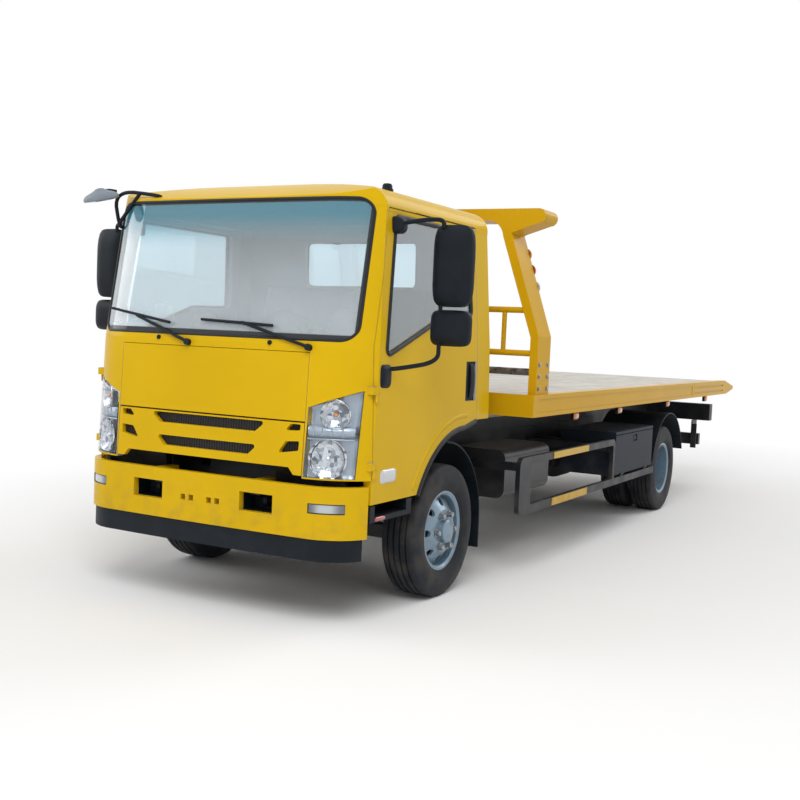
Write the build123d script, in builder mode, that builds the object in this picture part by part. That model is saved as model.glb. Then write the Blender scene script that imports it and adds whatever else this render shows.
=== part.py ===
"""Cab-over flatbed tow truck: ladder chassis, tilting cab, and a bed that slides and tilts to the ground.

Millimetres. +X forward, +Y to the vehicle's left, +Z up. The origin is on the ground,
midway between the front bumper and the bed's tail, on the centre line.
"""
import math
import os
from build123d import *

# Overall sizes
FRONT_OVERHANG = 1130
WHEELBASE = 4400
REAR_OVERHANG = 2520
OVERALL_LENGTH = FRONT_OVERHANG + WHEELBASE + REAR_OVERHANG
FRONT_AXLE_X = OVERALL_LENGTH / 2 - FRONT_OVERHANG
REAR_AXLE_X = FRONT_AXLE_X - WHEELBASE
BUMPER_X = OVERALL_LENGTH / 2
TAIL_X = -OVERALL_LENGTH / 2

# Fits
SEAT_GAP = 0.3
SHUT_LINE = 6
RUNNING_GAP = 0.5

# Tyres and wheels
TYRE_RADIUS = 398.5
TYRE_WIDTH = 235
TREAD_HALF = 90
TREAD_CROWN = 4
SHOULDER = (106, 374)
SHOULDER_MID = (101, 388)
BULGE_RADIUS = 306
RIM_RADIUS = 222
RIM_FLANGE = 238
RIM_WIDTH = 190
RIM_WALL = 9
DISC_THICKNESS = 14
HUB_RADIUS = 88
STUD_CIRCLE = 222.25
STUD_COUNT = 6
NUT_RADIUS = 16
HAND_HOLES = 8
HAND_HOLE_RADIUS = 21
HAND_HOLE_CIRCLE = 162
FRONT_TRACK = 1680
REAR_TRACK = 1650
DUAL_SPACING = 270
KINGPIN_Y = 682
AXLE_Z = TYRE_RADIUS

# Chassis frame
RAIL_TOP = 845
RAIL_HEIGHT = 225
RAIL_FLANGE = 70
RAIL_WEB = 8
FRAME_WIDTH = 750
RAIL_Y = FRAME_WIDTH / 2
FRAME_FRONT_X = FRONT_AXLE_X + 930
FRAME_REAR_X = TAIL_X + 540
CROSSMEMBER_DEPTH = 130
CROSSMEMBER_WIDTH = 90

# Bed and its tilting frame
BED_FRONT_X = FRONT_AXLE_X - 820
BED_HALF_WIDTH = 1150
BED_TOP = 1200
BED_RAIL_DEPTH = 148
BED_RAIL_WIDTH = 75
DECK_PLATE = 12
DECK_DROP = 8
TAIL_JOINT_X = TAIL_X + 1820
TAIL_NOSE_DROP = 70
TAIL_NOSE_LENGTH = 430
TILT_BEAM_HEIGHT = 100
TILT_BEAM_WIDTH = 80
TILT_BEAM_Y = 330
TILT_FRONT_X = FRONT_AXLE_X - 950
TILT_PIVOT_X = TAIL_X + 520
TILT_PIVOT_Z = 900
TILT_PIN_RADIUS = 25
SILL_WIDTH = 70
TILT_BEAM_BOTTOM = RAIL_TOP + SEAT_GAP
TILT_BEAM_TOP = TILT_BEAM_BOTTOM + TILT_BEAM_HEIGHT
SILL_BOTTOM = TILT_BEAM_TOP + SEAT_GAP
DECK_BOTTOM = BED_TOP - DECK_DROP - DECK_PLATE
BED_RAIL_BOTTOM = BED_TOP - BED_RAIL_DEPTH

# Cab
CAB_HALF_WIDTH = 958
CAB_BACK_X = FRONT_AXLE_X - 540
CAB_BACK_LEAN = 0.05
CAB_BOTTOM = 640
BELT_Z = 1480
FRONT_RAKE = 0.05
SCREEN_RAKE = 0.18
ROOF_TOP = 2395
ROOF_SEAM = 2232
CAB_WALL = 46
GLASS_THICKNESS = 10
GLASS_INSET = 4
CORNER_Y = 640
CAB_NOSE_X = FRONT_AXLE_X + 1115
CAB_CORNER_X = FRONT_AXLE_X + 1104
DOOR_FRONT_X = FRONT_AXLE_X + 905
DOOR_REAR_X = FRONT_AXLE_X - 360
DOOR_BOTTOM = 655
DOOR_TOP = 2226
ARCH_Z = 1048
ARCH_FRONT_X = FRONT_AXLE_X + 386
CAB_TILT_X = FRONT_AXLE_X + 1052
CAB_TILT_Z = 694
CAB_PIN_RADIUS = 20
CAB_EYE_RADIUS = 28
CAB_EAR = 26

# Small working values
LEFT, RIGHT = 1, -1
SIDES = ((LEFT, "left"), (RIGHT, "right"))

os.makedirs("parts", exist_ok=True)


def save(part, name):
    """Labels a finished piece and writes it to its own file."""
    part.label = name
    export_step(part, f"parts/{name}.step")


def block(x, y, z, mode=Mode.ADD):
    """Adds a box given by its low and high X, Y and Z to the open part."""
    middle = tuple((a + b) / 2 for a, b in (x, y, z))
    with Locations(middle):
        Box(abs(x[1] - x[0]), abs(y[1] - y[0]), abs(z[1] - z[0]), mode=mode)


def side_plane(y):
    """A plane that looks along Y: its local axes are the truck's X and Z."""
    return Plane(origin=(0, y, 0), x_dir=(1, 0, 0), z_dir=(0, -1, 0))


def front_plane(x):
    """A plane that looks along X: its local axes are the truck's Y and Z."""
    return Plane(origin=(x, 0, 0), x_dir=(0, 1, 0), z_dir=(1, 0, 0))


def side_plate(points, y_low, y_high, mode=Mode.ADD):
    """Adds an outline in X and Z, as wide as from y_low to y_high."""
    with BuildSketch(side_plane(y_high)) as outline:
        with BuildLine():
            Polyline(*points, close=True)
        make_face()
    extrude(outline.sketch, amount=y_high - y_low, mode=mode)


def front_plate(points, x_low, x_high, mode=Mode.ADD):
    """Adds an outline in Y and Z, as long as from x_low to x_high."""
    with BuildSketch(front_plane(x_low)) as outline:
        with BuildLine():
            Polyline(*points, close=True)
        make_face()
    extrude(outline.sketch, amount=x_high - x_low, mode=mode)


def rod(start, end, radius, mode=Mode.ADD):
    """Adds a straight round bar between two points."""
    path = Vector(*end) - Vector(*start)
    with BuildSketch(Plane(origin=start, z_dir=path)) as outline:
        Circle(radius)
    extrude(outline.sketch, amount=path.length, mode=mode)


def cross_rod(x, z, y_low, y_high, radius, mode=Mode.ADD):
    """Adds a round bar along Y."""
    rod((x, y_low, z), (x, y_high, z), radius, mode)


# Chassis frame: two channel rails, crossmembers, spring hangers and the rear pivot ears
RAIL_BOTTOM = RAIL_TOP - RAIL_HEIGHT
HANGER_DROP = 45
SPRING_Y = 335
SPRING_WIDTH = 70
FRONT_SPRING_REACH = 600
REAR_SPRING_REACH = 640
FIRST_CROSSMEMBER_X = FRONT_AXLE_X - 1300
BAY_COUNT = 3
BAY_LENGTH = (FIRST_CROSSMEMBER_X - REAR_AXLE_X - 550) / BAY_COUNT
CROSSMEMBER_X = (*(FIRST_CROSSMEMBER_X - bay * BAY_LENGTH for bay in range(BAY_COUNT + 1)),
                 TAIL_X + 1360, TAIL_X + 670)
LIFT_ARM = 726
LIFT_TOP_X = TILT_PIVOT_X + LIFT_ARM
LIFT_FOOT_X = LIFT_TOP_X - 14
LIFT_FOOT_Z = 450
LIFT_Y = 150
LIFT_PIN_RADIUS = 24
LIFT_EYE_WIDTH = 112
LIFT_PLATE = 12
PIVOT_EAR_RADIUS = 48
PIVOT_EAR_WIDTH = 26
PIVOT_EAR_Y = 250
CAB_POST_TOP = 1015 - SEAT_GAP

with BuildPart() as chassis_frame:
    for side, _ in SIDES:
        outer = side * RAIL_Y
        web = side * (RAIL_Y - RAIL_WEB)
        lip = side * (RAIL_Y - RAIL_FLANGE)
        inside = (RAIL_BOTTOM + RAIL_WEB, RAIL_TOP - RAIL_WEB)
        front_plate(
            ((outer, RAIL_BOTTOM), (outer, RAIL_TOP), (lip, RAIL_TOP), (lip, inside[1]),
             (web, inside[1]), (web, inside[0]), (lip, inside[0]), (lip, RAIL_BOTTOM)),
            FRAME_REAR_X, FRAME_FRONT_X)
        for axle_x, reach in ((FRONT_AXLE_X, FRONT_SPRING_REACH), (REAR_AXLE_X, REAR_SPRING_REACH)):
            for end in (-1, 1):
                eye = axle_x + end * reach
                block((eye - 40, eye + 40),
                      (side * (SPRING_Y - SPRING_WIDTH / 2), side * (SPRING_Y + SPRING_WIDTH / 2)),
                      (RAIL_BOTTOM - HANGER_DROP, RAIL_BOTTOM))
        ear = (side * PIVOT_EAR_Y, side * (PIVOT_EAR_Y - PIVOT_EAR_WIDTH))
        side_plate(((TILT_PIVOT_X - 40, 700), (TILT_PIVOT_X + 190, 700),
                    (TILT_PIVOT_X + 190, 800), (TILT_PIVOT_X + 42, TILT_PIVOT_Z),
                    (TILT_PIVOT_X - 40, TILT_PIVOT_Z)), min(ear), max(ear))
        cross_rod(TILT_PIVOT_X, TILT_PIVOT_Z, min(ear), max(ear), PIVOT_EAR_RADIUS)
    for x in CROSSMEMBER_X:
        block((x - CROSSMEMBER_WIDTH / 2, x + CROSSMEMBER_WIDTH / 2),
              (-RAIL_Y + RAIL_WEB, RAIL_Y - RAIL_WEB), (RAIL_TOP - 25 - CROSSMEMBER_DEPTH, RAIL_TOP - 25))
    block((FRAME_FRONT_X - 110, FRAME_FRONT_X - 20), (-RAIL_Y + RAIL_WEB, RAIL_Y - RAIL_WEB),
          (RAIL_BOTTOM, RAIL_BOTTOM + 90))
    for side, _ in SIDES:
        for edge in (-1, 1):
            y = side * LIFT_Y + edge * (LIFT_EYE_WIDTH / 2 + SHUT_LINE)
            y = sorted((y, y + edge * LIFT_PLATE))
            side_plate(((LIFT_FOOT_X - 45, 415), (LIFT_FOOT_X + 45, 415), (LIFT_FOOT_X + 170, 690),
                        (LIFT_FOOT_X + 170, 810), (LIFT_FOOT_X + 85, 810), (LIFT_FOOT_X + 62, 640),
                        (LIFT_FOOT_X - 45, 490)), y[0], y[1])
        reach = LIFT_EYE_WIDTH / 2 + SHUT_LINE + LIFT_PLATE
        cross_rod(LIFT_FOOT_X, LIFT_FOOT_Z, side * LIFT_Y - reach, side * LIFT_Y + reach, LIFT_PIN_RADIUS)
    cross_rod(TILT_PIVOT_X, TILT_PIVOT_Z, -PIVOT_EAR_Y, PIVOT_EAR_Y, TILT_PIN_RADIUS + RUNNING_GAP,
              mode=Mode.SUBTRACT)
    for side, _ in SIDES:
        ear = sorted((side * 300, side * (RAIL_Y - RAIL_WEB)))
        side_plate(((FRAME_FRONT_X - 60, RAIL_BOTTOM), (FRAME_FRONT_X, RAIL_BOTTOM),
                    (CAB_TILT_X + CAB_EAR, CAB_TILT_Z - CAB_EAR), (CAB_TILT_X + CAB_EAR, CAB_TILT_Z + CAB_EAR),
                    (FRAME_FRONT_X - 60, CAB_TILT_Z + CAB_EAR)), ear[0], ear[1])
        pin = sorted((side * 320, side * 420))
        cross_rod(CAB_TILT_X, CAB_TILT_Z, pin[0], pin[1], CAB_PIN_RADIUS)
        block((CAB_BACK_X + 60, CAB_BACK_X + 130), (side * 306, side * 372), (RAIL_TOP, CAB_POST_TOP))
save(chassis_frame.part, "chassis_frame")

# Front axle with its leaf springs
BEAM_Z = 310
BEAM_HEIGHT = 80
BEAM_DEPTH = 100
KINGPIN_RADIUS = 22
BOSS_RADIUS = 44
BOSS_HEIGHT = 116
ARM_CLEAR_Z = AXLE_Z - BOSS_HEIGHT / 2 + 8
ARM_SWEEP_RADIUS = 104
SPRING_THICKNESS = 52
SPRING_SAG = 120
SPRING_END_Z = RAIL_BOTTOM - HANGER_DROP - SEAT_GAP


def leaf_spring(axle_x, reach, sag):
    """Adds a pair of bowed leaf packs, whose ends lie under the frame's hangers."""
    for side, _ in SIDES:
        low = min(side * (SPRING_Y - SPRING_WIDTH / 2), side * (SPRING_Y + SPRING_WIDTH / 2))
        top = SPRING_END_Z
        with BuildSketch(side_plane(low + SPRING_WIDTH)) as outline:
            with BuildLine():
                ThreePointArc((axle_x - reach, top), (axle_x, top - sag), (axle_x + reach, top))
                Line((axle_x + reach, top), (axle_x + reach, top - SPRING_THICKNESS / 3))
                ThreePointArc((axle_x + reach, top - SPRING_THICKNESS / 3),
                              (axle_x, top - sag - SPRING_THICKNESS),
                              (axle_x - reach, top - SPRING_THICKNESS / 3))
                Line((axle_x - reach, top - SPRING_THICKNESS / 3), (axle_x - reach, top))
            make_face()
        extrude(outline.sketch, amount=SPRING_WIDTH)


with BuildPart() as front_axle:
    block((FRONT_AXLE_X - BEAM_DEPTH / 2, FRONT_AXLE_X + BEAM_DEPTH / 2), (-KINGPIN_Y, KINGPIN_Y),
          (BEAM_Z, BEAM_Z + BEAM_HEIGHT))
    leaf_spring(FRONT_AXLE_X, FRONT_SPRING_REACH, SPRING_SAG)
    for side, _ in SIDES:
        block((FRONT_AXLE_X - 70, FRONT_AXLE_X + 70),
              (side * (SPRING_Y - 45), side * (SPRING_Y + 45)),
              (BEAM_Z + BEAM_HEIGHT, SPRING_END_Z - SPRING_SAG + 6))
        with Locations((FRONT_AXLE_X, side * KINGPIN_Y, ARM_CLEAR_Z)):
            Cylinder(ARM_SWEEP_RADIUS, BEAM_HEIGHT, align=(Align.CENTER, Align.CENTER, Align.MAX),
                     mode=Mode.SUBTRACT)
        with Locations((FRONT_AXLE_X, side * KINGPIN_Y, AXLE_Z)):
            Cylinder(BOSS_RADIUS + 2 * SHUT_LINE, BOSS_HEIGHT + 60, mode=Mode.SUBTRACT)
            Cylinder(BOSS_RADIUS, BOSS_HEIGHT)
            Cylinder(KINGPIN_RADIUS + RUNNING_GAP, BOSS_HEIGHT, mode=Mode.SUBTRACT)
        arm = side * (KINGPIN_Y - 120)
        block((FRONT_AXLE_X - 42, FRONT_AXLE_X + 42), (side * (KINGPIN_Y - 34), arm),
              (ARM_CLEAR_Z, AXLE_Z + BOSS_HEIGHT / 2))
        block((FRONT_AXLE_X - 42, FRONT_AXLE_X + 42), (arm, side * (KINGPIN_Y - 70)),
              (ARM_CLEAR_Z, AXLE_Z))
save(front_axle.part, "front_axle")

# Rear axle: housing, brake drums and leaf springs
AXLE_TUBE_RADIUS = 62
REAR_SPINDLE_RADIUS = 48
DRUM_RADIUS = 185
DRUM_INNER_Y = 585
DRUM_WIDTH = 110
REAR_SPRING_SAG = 60
DIFF_RADIUS = 180
DIFF_NOSE_X = REAR_AXLE_X + 330
DIFF_NOSE_RADIUS = 85
REAR_SPINDLE_Y = 780

with BuildPart() as rear_axle:
    cross_rod(REAR_AXLE_X, AXLE_Z, -DRUM_INNER_Y, DRUM_INNER_Y, AXLE_TUBE_RADIUS)
    rod((REAR_AXLE_X - 120, 0, AXLE_Z), (REAR_AXLE_X + 120, 0, AXLE_Z), DIFF_RADIUS)
    rod((REAR_AXLE_X, 0, AXLE_Z), (DIFF_NOSE_X, 0, AXLE_Z), DIFF_NOSE_RADIUS)
    leaf_spring(REAR_AXLE_X, REAR_SPRING_REACH, REAR_SPRING_SAG)
    for side, _ in SIDES:
        block((REAR_AXLE_X - 75, REAR_AXLE_X + 75),
              (side * (SPRING_Y - 45), side * (SPRING_Y + 45)),
              (AXLE_Z, SPRING_END_Z - REAR_SPRING_SAG))
        drum = (side * DRUM_INNER_Y, side * (DRUM_INNER_Y + DRUM_WIDTH))
        cross_rod(REAR_AXLE_X, AXLE_Z, min(drum), max(drum), DRUM_RADIUS)
        spindle = (side * DRUM_INNER_Y, side * REAR_SPINDLE_Y)
        cross_rod(REAR_AXLE_X, AXLE_Z, min(spindle), max(spindle), REAR_SPINDLE_RADIUS)
save(rear_axle.part, "rear_axle")

# Engine, gearbox and propeller shaft
ENGINE_X = (FRONT_AXLE_X - 550, FRONT_AXLE_X + 480)
ENGINE_HALF = 265
ENGINE_Z = (480, 985)
GEARBOX_REAR_X = FRONT_AXLE_X - 1120
GEARBOX_RADIUS = 165
GEARBOX_Z = 620
SHAFT_RADIUS = 42
MOUNT_X = FRONT_AXLE_X + 250
RADIATOR_X = (FRONT_AXLE_X + 600, FRONT_AXLE_X + 690)

with BuildPart() as drivetrain:
    block(ENGINE_X, (-ENGINE_HALF, ENGINE_HALF), ENGINE_Z)
    rod((ENGINE_X[0], 0, GEARBOX_Z), (GEARBOX_REAR_X, 0, GEARBOX_Z), GEARBOX_RADIUS)
    block((MOUNT_X - 50, MOUNT_X + 50), (-RAIL_Y + RAIL_WEB + SEAT_GAP, RAIL_Y - RAIL_WEB - SEAT_GAP),
          (RAIL_BOTTOM + 60, RAIL_BOTTOM + 120))
    rod((GEARBOX_REAR_X, 0, GEARBOX_Z), (DIFF_NOSE_X + 50, 0, AXLE_Z), SHAFT_RADIUS)
    rod((DIFF_NOSE_X + SEAT_GAP, 0, AXLE_Z), (DIFF_NOSE_X + 60, 0, AXLE_Z), SHAFT_RADIUS + 8)
save(drivetrain.part, "drivetrain")

with BuildPart() as radiator:
    block(RADIATOR_X, (-RAIL_Y + 90, RAIL_Y - 90), (RAIL_BOTTOM - 90, 985))
    block((RADIATOR_X[0] + 20, RADIATOR_X[1] - 20),
          (-RAIL_Y + RAIL_WEB + SEAT_GAP, RAIL_Y - RAIL_WEB - SEAT_GAP),
          (RAIL_BOTTOM + 60, RAIL_BOTTOM + 110))
save(radiator.part, "radiator")

# Fuel tank, battery case and air tank, hung on the rails' outer faces
FUEL_REAR_X = FRONT_AXLE_X - 1780
FUEL_CENTRE = (690, 640)
FUEL_SIZE = (820, 440, 330)
FUEL_ROUND = 60
BATTERY_X = (FRONT_AXLE_X - 1500, FRONT_AXLE_X - 930)
BATTERY_Y = (-880, -470)
BATTERY_Z = (500, 800)
AIR_TANK_X = (FRONT_AXLE_X - 2560, FRONT_AXLE_X - 1640)
AIR_TANK_AT = (-600, 640)
AIR_TANK_RADIUS = 130
STRAP_HALF = 30
STRAP_Z = (620, 720)
STRAP_TABLE = ((-1150, LEFT, 490), (-1600, LEFT, 490), (-1060, RIGHT, 490), (-1380, RIGHT, 490),
               (-1850, RIGHT, 580), (-2350, RIGHT, 580))

with BuildPart() as tanks:
    with BuildSketch(front_plane(FUEL_REAR_X)):
        with Locations(FUEL_CENTRE):
            RectangleRounded(FUEL_SIZE[1], FUEL_SIZE[2], FUEL_ROUND)
    extrude(amount=FUEL_SIZE[0])
    block(BATTERY_X, BATTERY_Y, BATTERY_Z)
    rod((AIR_TANK_X[0], *AIR_TANK_AT), (AIR_TANK_X[1], *AIR_TANK_AT), AIR_TANK_RADIUS)
    for x, side, reach in STRAP_TABLE:
        block((FRONT_AXLE_X + x - STRAP_HALF, FRONT_AXLE_X + x + STRAP_HALF),
              (side * (RAIL_Y + SEAT_GAP), side * reach), STRAP_Z)
save(tanks.part, "tanks")

# Bumper, its dark lower lip and the fog lamps in its slots
BUMPER_Z = (480, 755)
BUMPER_WALL = 38
BUMPER_END_X = FRONT_AXLE_X + 917
BUMPER_HALF_WIDTH = 948
LIP_BOTTOM = 362
LIP_INSET = 14
LIP_WALL = 26
PLATE_HALF_WIDTH = 165
PLATE_HOLE_Y = (62, 118)
PLATE_HOLE_Z = 596
PLATE_HOLE = 32
FOG_Y = (700, 878)
FOG_Z = (614, 668)
OPENING_Y = (268, 482)
OPENING_Z = (582, 684)
BUMPER_ARM_Y = 345
BUMPER_ARM_Z = (CAB_TILT_Z + 34, CAB_TILT_Z + 58)


def bumper_ring(inset, wall, z):
    """Adds a band that follows the bumper's bowed front and wrapped ends."""
    with BuildSketch(Plane.XY.offset(z[0])) as outline:
        with BuildLine():
            nose = (BUMPER_X, 0)
            for side, _ in SIDES:
                ThreePointArc(nose, (BUMPER_X - 3, side * 330), (BUMPER_X - 12, side * 660))
                ThreePointArc((BUMPER_X - 12, side * 660), (BUMPER_X - 72, side * 850),
                              (BUMPER_END_X, side * BUMPER_HALF_WIDTH))
            Line((BUMPER_END_X, -BUMPER_HALF_WIDTH), (BUMPER_END_X, BUMPER_HALF_WIDTH))
        make_face()
        if inset:
            offset(amount=-inset, mode=Mode.REPLACE)
        offset(amount=-wall, mode=Mode.SUBTRACT)
        with Locations((BUMPER_END_X + (inset + wall) / 2, 0)):
            Rectangle(inset + wall + 1, 2 * (BUMPER_HALF_WIDTH - inset - wall) - 14, mode=Mode.SUBTRACT)
    extrude(outline.sketch, amount=z[1] - z[0])


with BuildPart() as bumper:
    bumper_ring(0, BUMPER_WALL, BUMPER_Z)
    for side, _ in SIDES:
        for y, z in ((OPENING_Y, OPENING_Z), (FOG_Y, FOG_Z)):
            block((BUMPER_X - 260, BUMPER_X), (side * y[0], side * y[1]), z, mode=Mode.SUBTRACT)
        for y in PLATE_HOLE_Y:
            block((BUMPER_X - 60, BUMPER_X), (side * y - PLATE_HOLE / 2, side * y + PLATE_HOLE / 2),
                  (PLATE_HOLE_Z, PLATE_HOLE_Z + PLATE_HOLE), mode=Mode.SUBTRACT)
        block((FRAME_FRONT_X + SEAT_GAP, BUMPER_X - BUMPER_WALL + 6),
              (side * (BUMPER_ARM_Y - 25), side * (BUMPER_ARM_Y + 25)), (BUMPER_ARM_Z[0], BUMPER_ARM_Z[1]))
    block((BUMPER_X - 12, BUMPER_X - 3), (-PLATE_HALF_WIDTH - 20, PLATE_HALF_WIDTH + 20), (540, 575),
          mode=Mode.SUBTRACT)
save(bumper.part, "bumper")

with BuildPart() as bumper_lip:
    bumper_ring(LIP_INSET, LIP_WALL, (LIP_BOTTOM, BUMPER_Z[0] - SEAT_GAP))
    fillet(bumper_lip.edges().filter_by(GeomType.LINE).filter_by(Axis.Z).sort_by(Axis.X)[:2], 8)
save(bumper_lip.part, "bumper_lip")

with BuildPart() as fog_band:
    bumper_ring(5, 24, (FOG_Z[0] + 0.5, FOG_Z[1] - 0.5))
with BuildPart() as fog_lamps:
    for side, _ in SIDES:
        block((BUMPER_X - 260, BUMPER_X), (side * (FOG_Y[0] + 0.5), side * (FOG_Y[1] - 0.5)), FOG_Z)
    add(fog_band.part, mode=Mode.INTERSECT)
save(fog_lamps.part, "fog_lamps")

# Side guards: two rails a side with rounded front ends, and their yellow sleeves
GUARD_Y = (1096, 1128)
GUARD_UPPER_Z = (742, 792)
GUARD_LOWER_Z = (414, 470)
GUARD_FRONT_X = FRONT_AXLE_X - 705
GUARD_SPLIT_X = REAR_AXLE_X + 1700
GUARD_REAR_X = REAR_AXLE_X + 550
GUARD_POSTS = tuple(FRONT_AXLE_X + x for x in (-870, -2640))
SLEEVE_X = (FRONT_AXLE_X - 2030, FRONT_AXLE_X - 1302)
SLEEVE_WALL = 5

with BuildPart() as side_guards:
    for side, _ in SIDES:
        y = tuple(sorted((side * GUARD_Y[0], side * GUARD_Y[1])))
        with BuildSketch(side_plane(y[1])):
            with Locations(((GUARD_FRONT_X + GUARD_SPLIT_X) / 2, (GUARD_LOWER_Z[0] + GUARD_UPPER_Z[1]) / 2)):
                RectangleRounded(GUARD_FRONT_X - GUARD_SPLIT_X, GUARD_UPPER_Z[1] - GUARD_LOWER_Z[0], 60)
            with Locations(((GUARD_FRONT_X - 145 + GUARD_SPLIT_X) / 2,
                            (GUARD_LOWER_Z[1] + GUARD_UPPER_Z[0]) / 2)):
                RectangleRounded(GUARD_FRONT_X - 145 - GUARD_SPLIT_X - 100,
                                 GUARD_UPPER_Z[0] - GUARD_LOWER_Z[1], 20, mode=Mode.SUBTRACT)
        extrude(amount=y[1] - y[0])
        block((GUARD_REAR_X, GUARD_SPLIT_X + 80), y, GUARD_LOWER_Z)
        for x in GUARD_POSTS:
            block((x - 25, x + 25), (side * (RAIL_Y + SEAT_GAP), side * (GUARD_Y[0] + 4)), (690, 742))
save(side_guards.part, "side_guards")

with BuildPart() as guard_sleeves:
    for side, _ in SIDES:
        for z in (GUARD_UPPER_Z, GUARD_LOWER_Z):
            block(SLEEVE_X, (side * (GUARD_Y[1] + SEAT_GAP), side * (GUARD_Y[1] + SLEEVE_WALL)),
                  (z[0] + 2, z[1] - 2))
save(guard_sleeves.part, "guard_sleeves")

# Toolboxes ahead of the rear wheels, with doors that fold down
BOX_X = (REAR_AXLE_X + 610, REAR_AXLE_X + 1680)
BOX_Y = (650, 1094)
BOX_Z = (482, 842)
BOX_WALL = 14
BOX_DOOR_Y = (BOX_Y[1] + SEAT_GAP, 1122)
BOX_DOOR_Z = (490, 812)
BOX_HINGE_Z = BOX_DOOR_Z[0]
BOX_HINGE_RADIUS = 8
BOX_HINGE_HALF = 40
BOX_HINGE_X = (BOX_X[0] + 200, BOX_X[1] - 200)
BOX_LEAF = (BOX_Z[0] - 12, BOX_HINGE_Z - BOX_HINGE_RADIUS - SEAT_GAP)
BOX_ARM_X = (BOX_X[0] + 150, BOX_X[1] - 150)
BOX_ARM_HALF = 30
BOX_ARM_Z = (660, 740)
LATCH_DROP = 45
LATCH_DEPTH = 10
LATCH_RECESS = (60, 28)
LATCH_GRIP = (40, 14)

with BuildPart() as toolboxes:
    for side, _ in SIDES:
        block(BOX_X, (side * BOX_Y[0], side * BOX_Y[1]), BOX_Z)
        block((BOX_X[0] + BOX_WALL, BOX_X[1] - BOX_WALL),
              (side * (BOX_Y[0] + BOX_WALL), side * (BOX_Y[1] + 1)),
              (BOX_Z[0] + BOX_WALL, BOX_Z[1] - 2 * BOX_WALL), mode=Mode.SUBTRACT)
        block((BOX_X[0], BOX_X[1]), (side * (BOX_Y[1] - 20), side * BOX_DOOR_Y[1]),
              (BOX_DOOR_Z[1] + SHUT_LINE, BOX_Z[1]))
        for x in BOX_ARM_X:
            block((x - BOX_ARM_HALF, x + BOX_ARM_HALF),
                  (side * (RAIL_Y + SEAT_GAP), side * (BOX_Y[0] + 4)), BOX_ARM_Z)
        for x in BOX_HINGE_X:
            leaf_x = (x - BOX_HINGE_HALF, x + BOX_HINGE_HALF)
            block(leaf_x, (side * (BOX_Y[1] - 40), side * BOX_Y[1]), (BOX_LEAF[0], BOX_Z[0] + 1))
            block(leaf_x, (side * (BOX_Y[1] - 1), side * BOX_DOOR_Y[1]), BOX_LEAF)
save(toolboxes.part, "toolboxes")

for side, name in SIDES:
    with BuildPart() as toolbox_door:
        y = tuple(sorted((side * BOX_DOOR_Y[0], side * BOX_DOOR_Y[1])))
        block((BOX_X[0] + 4, BOX_X[1] - 4), y, BOX_DOOR_Z)
        latch = ((BOX_X[0] + BOX_X[1]) / 2, side * BOX_DOOR_Y[1], BOX_DOOR_Z[1] - LATCH_DROP)
        for (half, rise), front, mode in ((LATCH_RECESS, 0, Mode.SUBTRACT), (LATCH_GRIP, 3, Mode.ADD)):
            block((latch[0] - half, latch[0] + half), (latch[1] - side * LATCH_DEPTH, latch[1] - side * front),
                  (latch[2] - rise, latch[2] + rise), mode=mode)
        for x in BOX_HINGE_X:
            rod((x - BOX_HINGE_HALF, side * BOX_DOOR_Y[1], BOX_HINGE_Z),
                (x + BOX_HINGE_HALF, side * BOX_DOOR_Y[1], BOX_HINGE_Z), BOX_HINGE_RADIUS)
    save(toolbox_door.part, f"toolbox_door_{name}")

# Mudguards: bands over the rear wheels, and quarter bands with flaps behind the front wheels
REAR_GUARD_RADIUS = 520
REAR_GUARD_Y = (556, 1110)
FRONT_GUARD_RADIUS = 525
FRONT_GUARD_Y = (560, 930)
GUARD_SHEET = 10
STAY_RADIUS = 14
STAY_Z = 665
FLAP_BOTTOM = 215


def arc_band(axle_x, radius, start_deg, end_deg, y):
    """Adds a curved sheet about a wheel centre, between two angles from forward."""
    def at(r, deg):
        return (axle_x + r * math.cos(math.radians(deg)), AXLE_Z + r * math.sin(math.radians(deg)))
    mid_deg = (start_deg + end_deg) / 2
    outer = radius + GUARD_SHEET
    with BuildSketch(side_plane(max(y))) as outline:
        with BuildLine():
            ThreePointArc(at(radius, start_deg), at(radius, mid_deg), at(radius, end_deg))
            Line(at(radius, end_deg), at(outer, end_deg))
            ThreePointArc(at(outer, end_deg), at(outer, mid_deg), at(outer, start_deg))
            Line(at(outer, start_deg), at(radius, start_deg))
        make_face()
    extrude(outline.sketch, amount=max(y) - min(y))


with BuildPart() as mudguards:
    for side, _ in SIDES:
        rear_y = (side * REAR_GUARD_Y[0], side * REAR_GUARD_Y[1])
        front_y = (side * FRONT_GUARD_Y[0], side * FRONT_GUARD_Y[1])
        arc_band(REAR_AXLE_X, REAR_GUARD_RADIUS, 12, 163, rear_y)
        arc_band(FRONT_AXLE_X, FRONT_GUARD_RADIUS, 92, 178, front_y)
        stay_y = sorted((side * (RAIL_Y + SEAT_GAP), side * (REAR_GUARD_Y[1] - 10)))
        stay_x = math.sqrt((REAR_GUARD_RADIUS + GUARD_SHEET / 2) ** 2 - (STAY_Z - AXLE_Z) ** 2)
        for x in (REAR_AXLE_X - stay_x, REAR_AXLE_X + stay_x):
            cross_rod(x, STAY_Z, stay_y[0], stay_y[1], STAY_RADIUS)
        front_stay = math.sqrt((FRONT_GUARD_RADIUS + GUARD_SHEET / 2) ** 2 - (STAY_Z - AXLE_Z) ** 2)
        stay_y = sorted((side * (RAIL_Y + SEAT_GAP), side * (FRONT_GUARD_Y[1] - 10)))
        cross_rod(FRONT_AXLE_X - front_stay, STAY_Z, stay_y[0], stay_y[1], STAY_RADIUS)
        flap_x = FRONT_AXLE_X - FRONT_GUARD_RADIUS
        block((flap_x - GUARD_SHEET, flap_x), front_y, (FLAP_BOTTOM, AXLE_Z + 20))
save(mudguards.part, "mudguards")

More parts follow.
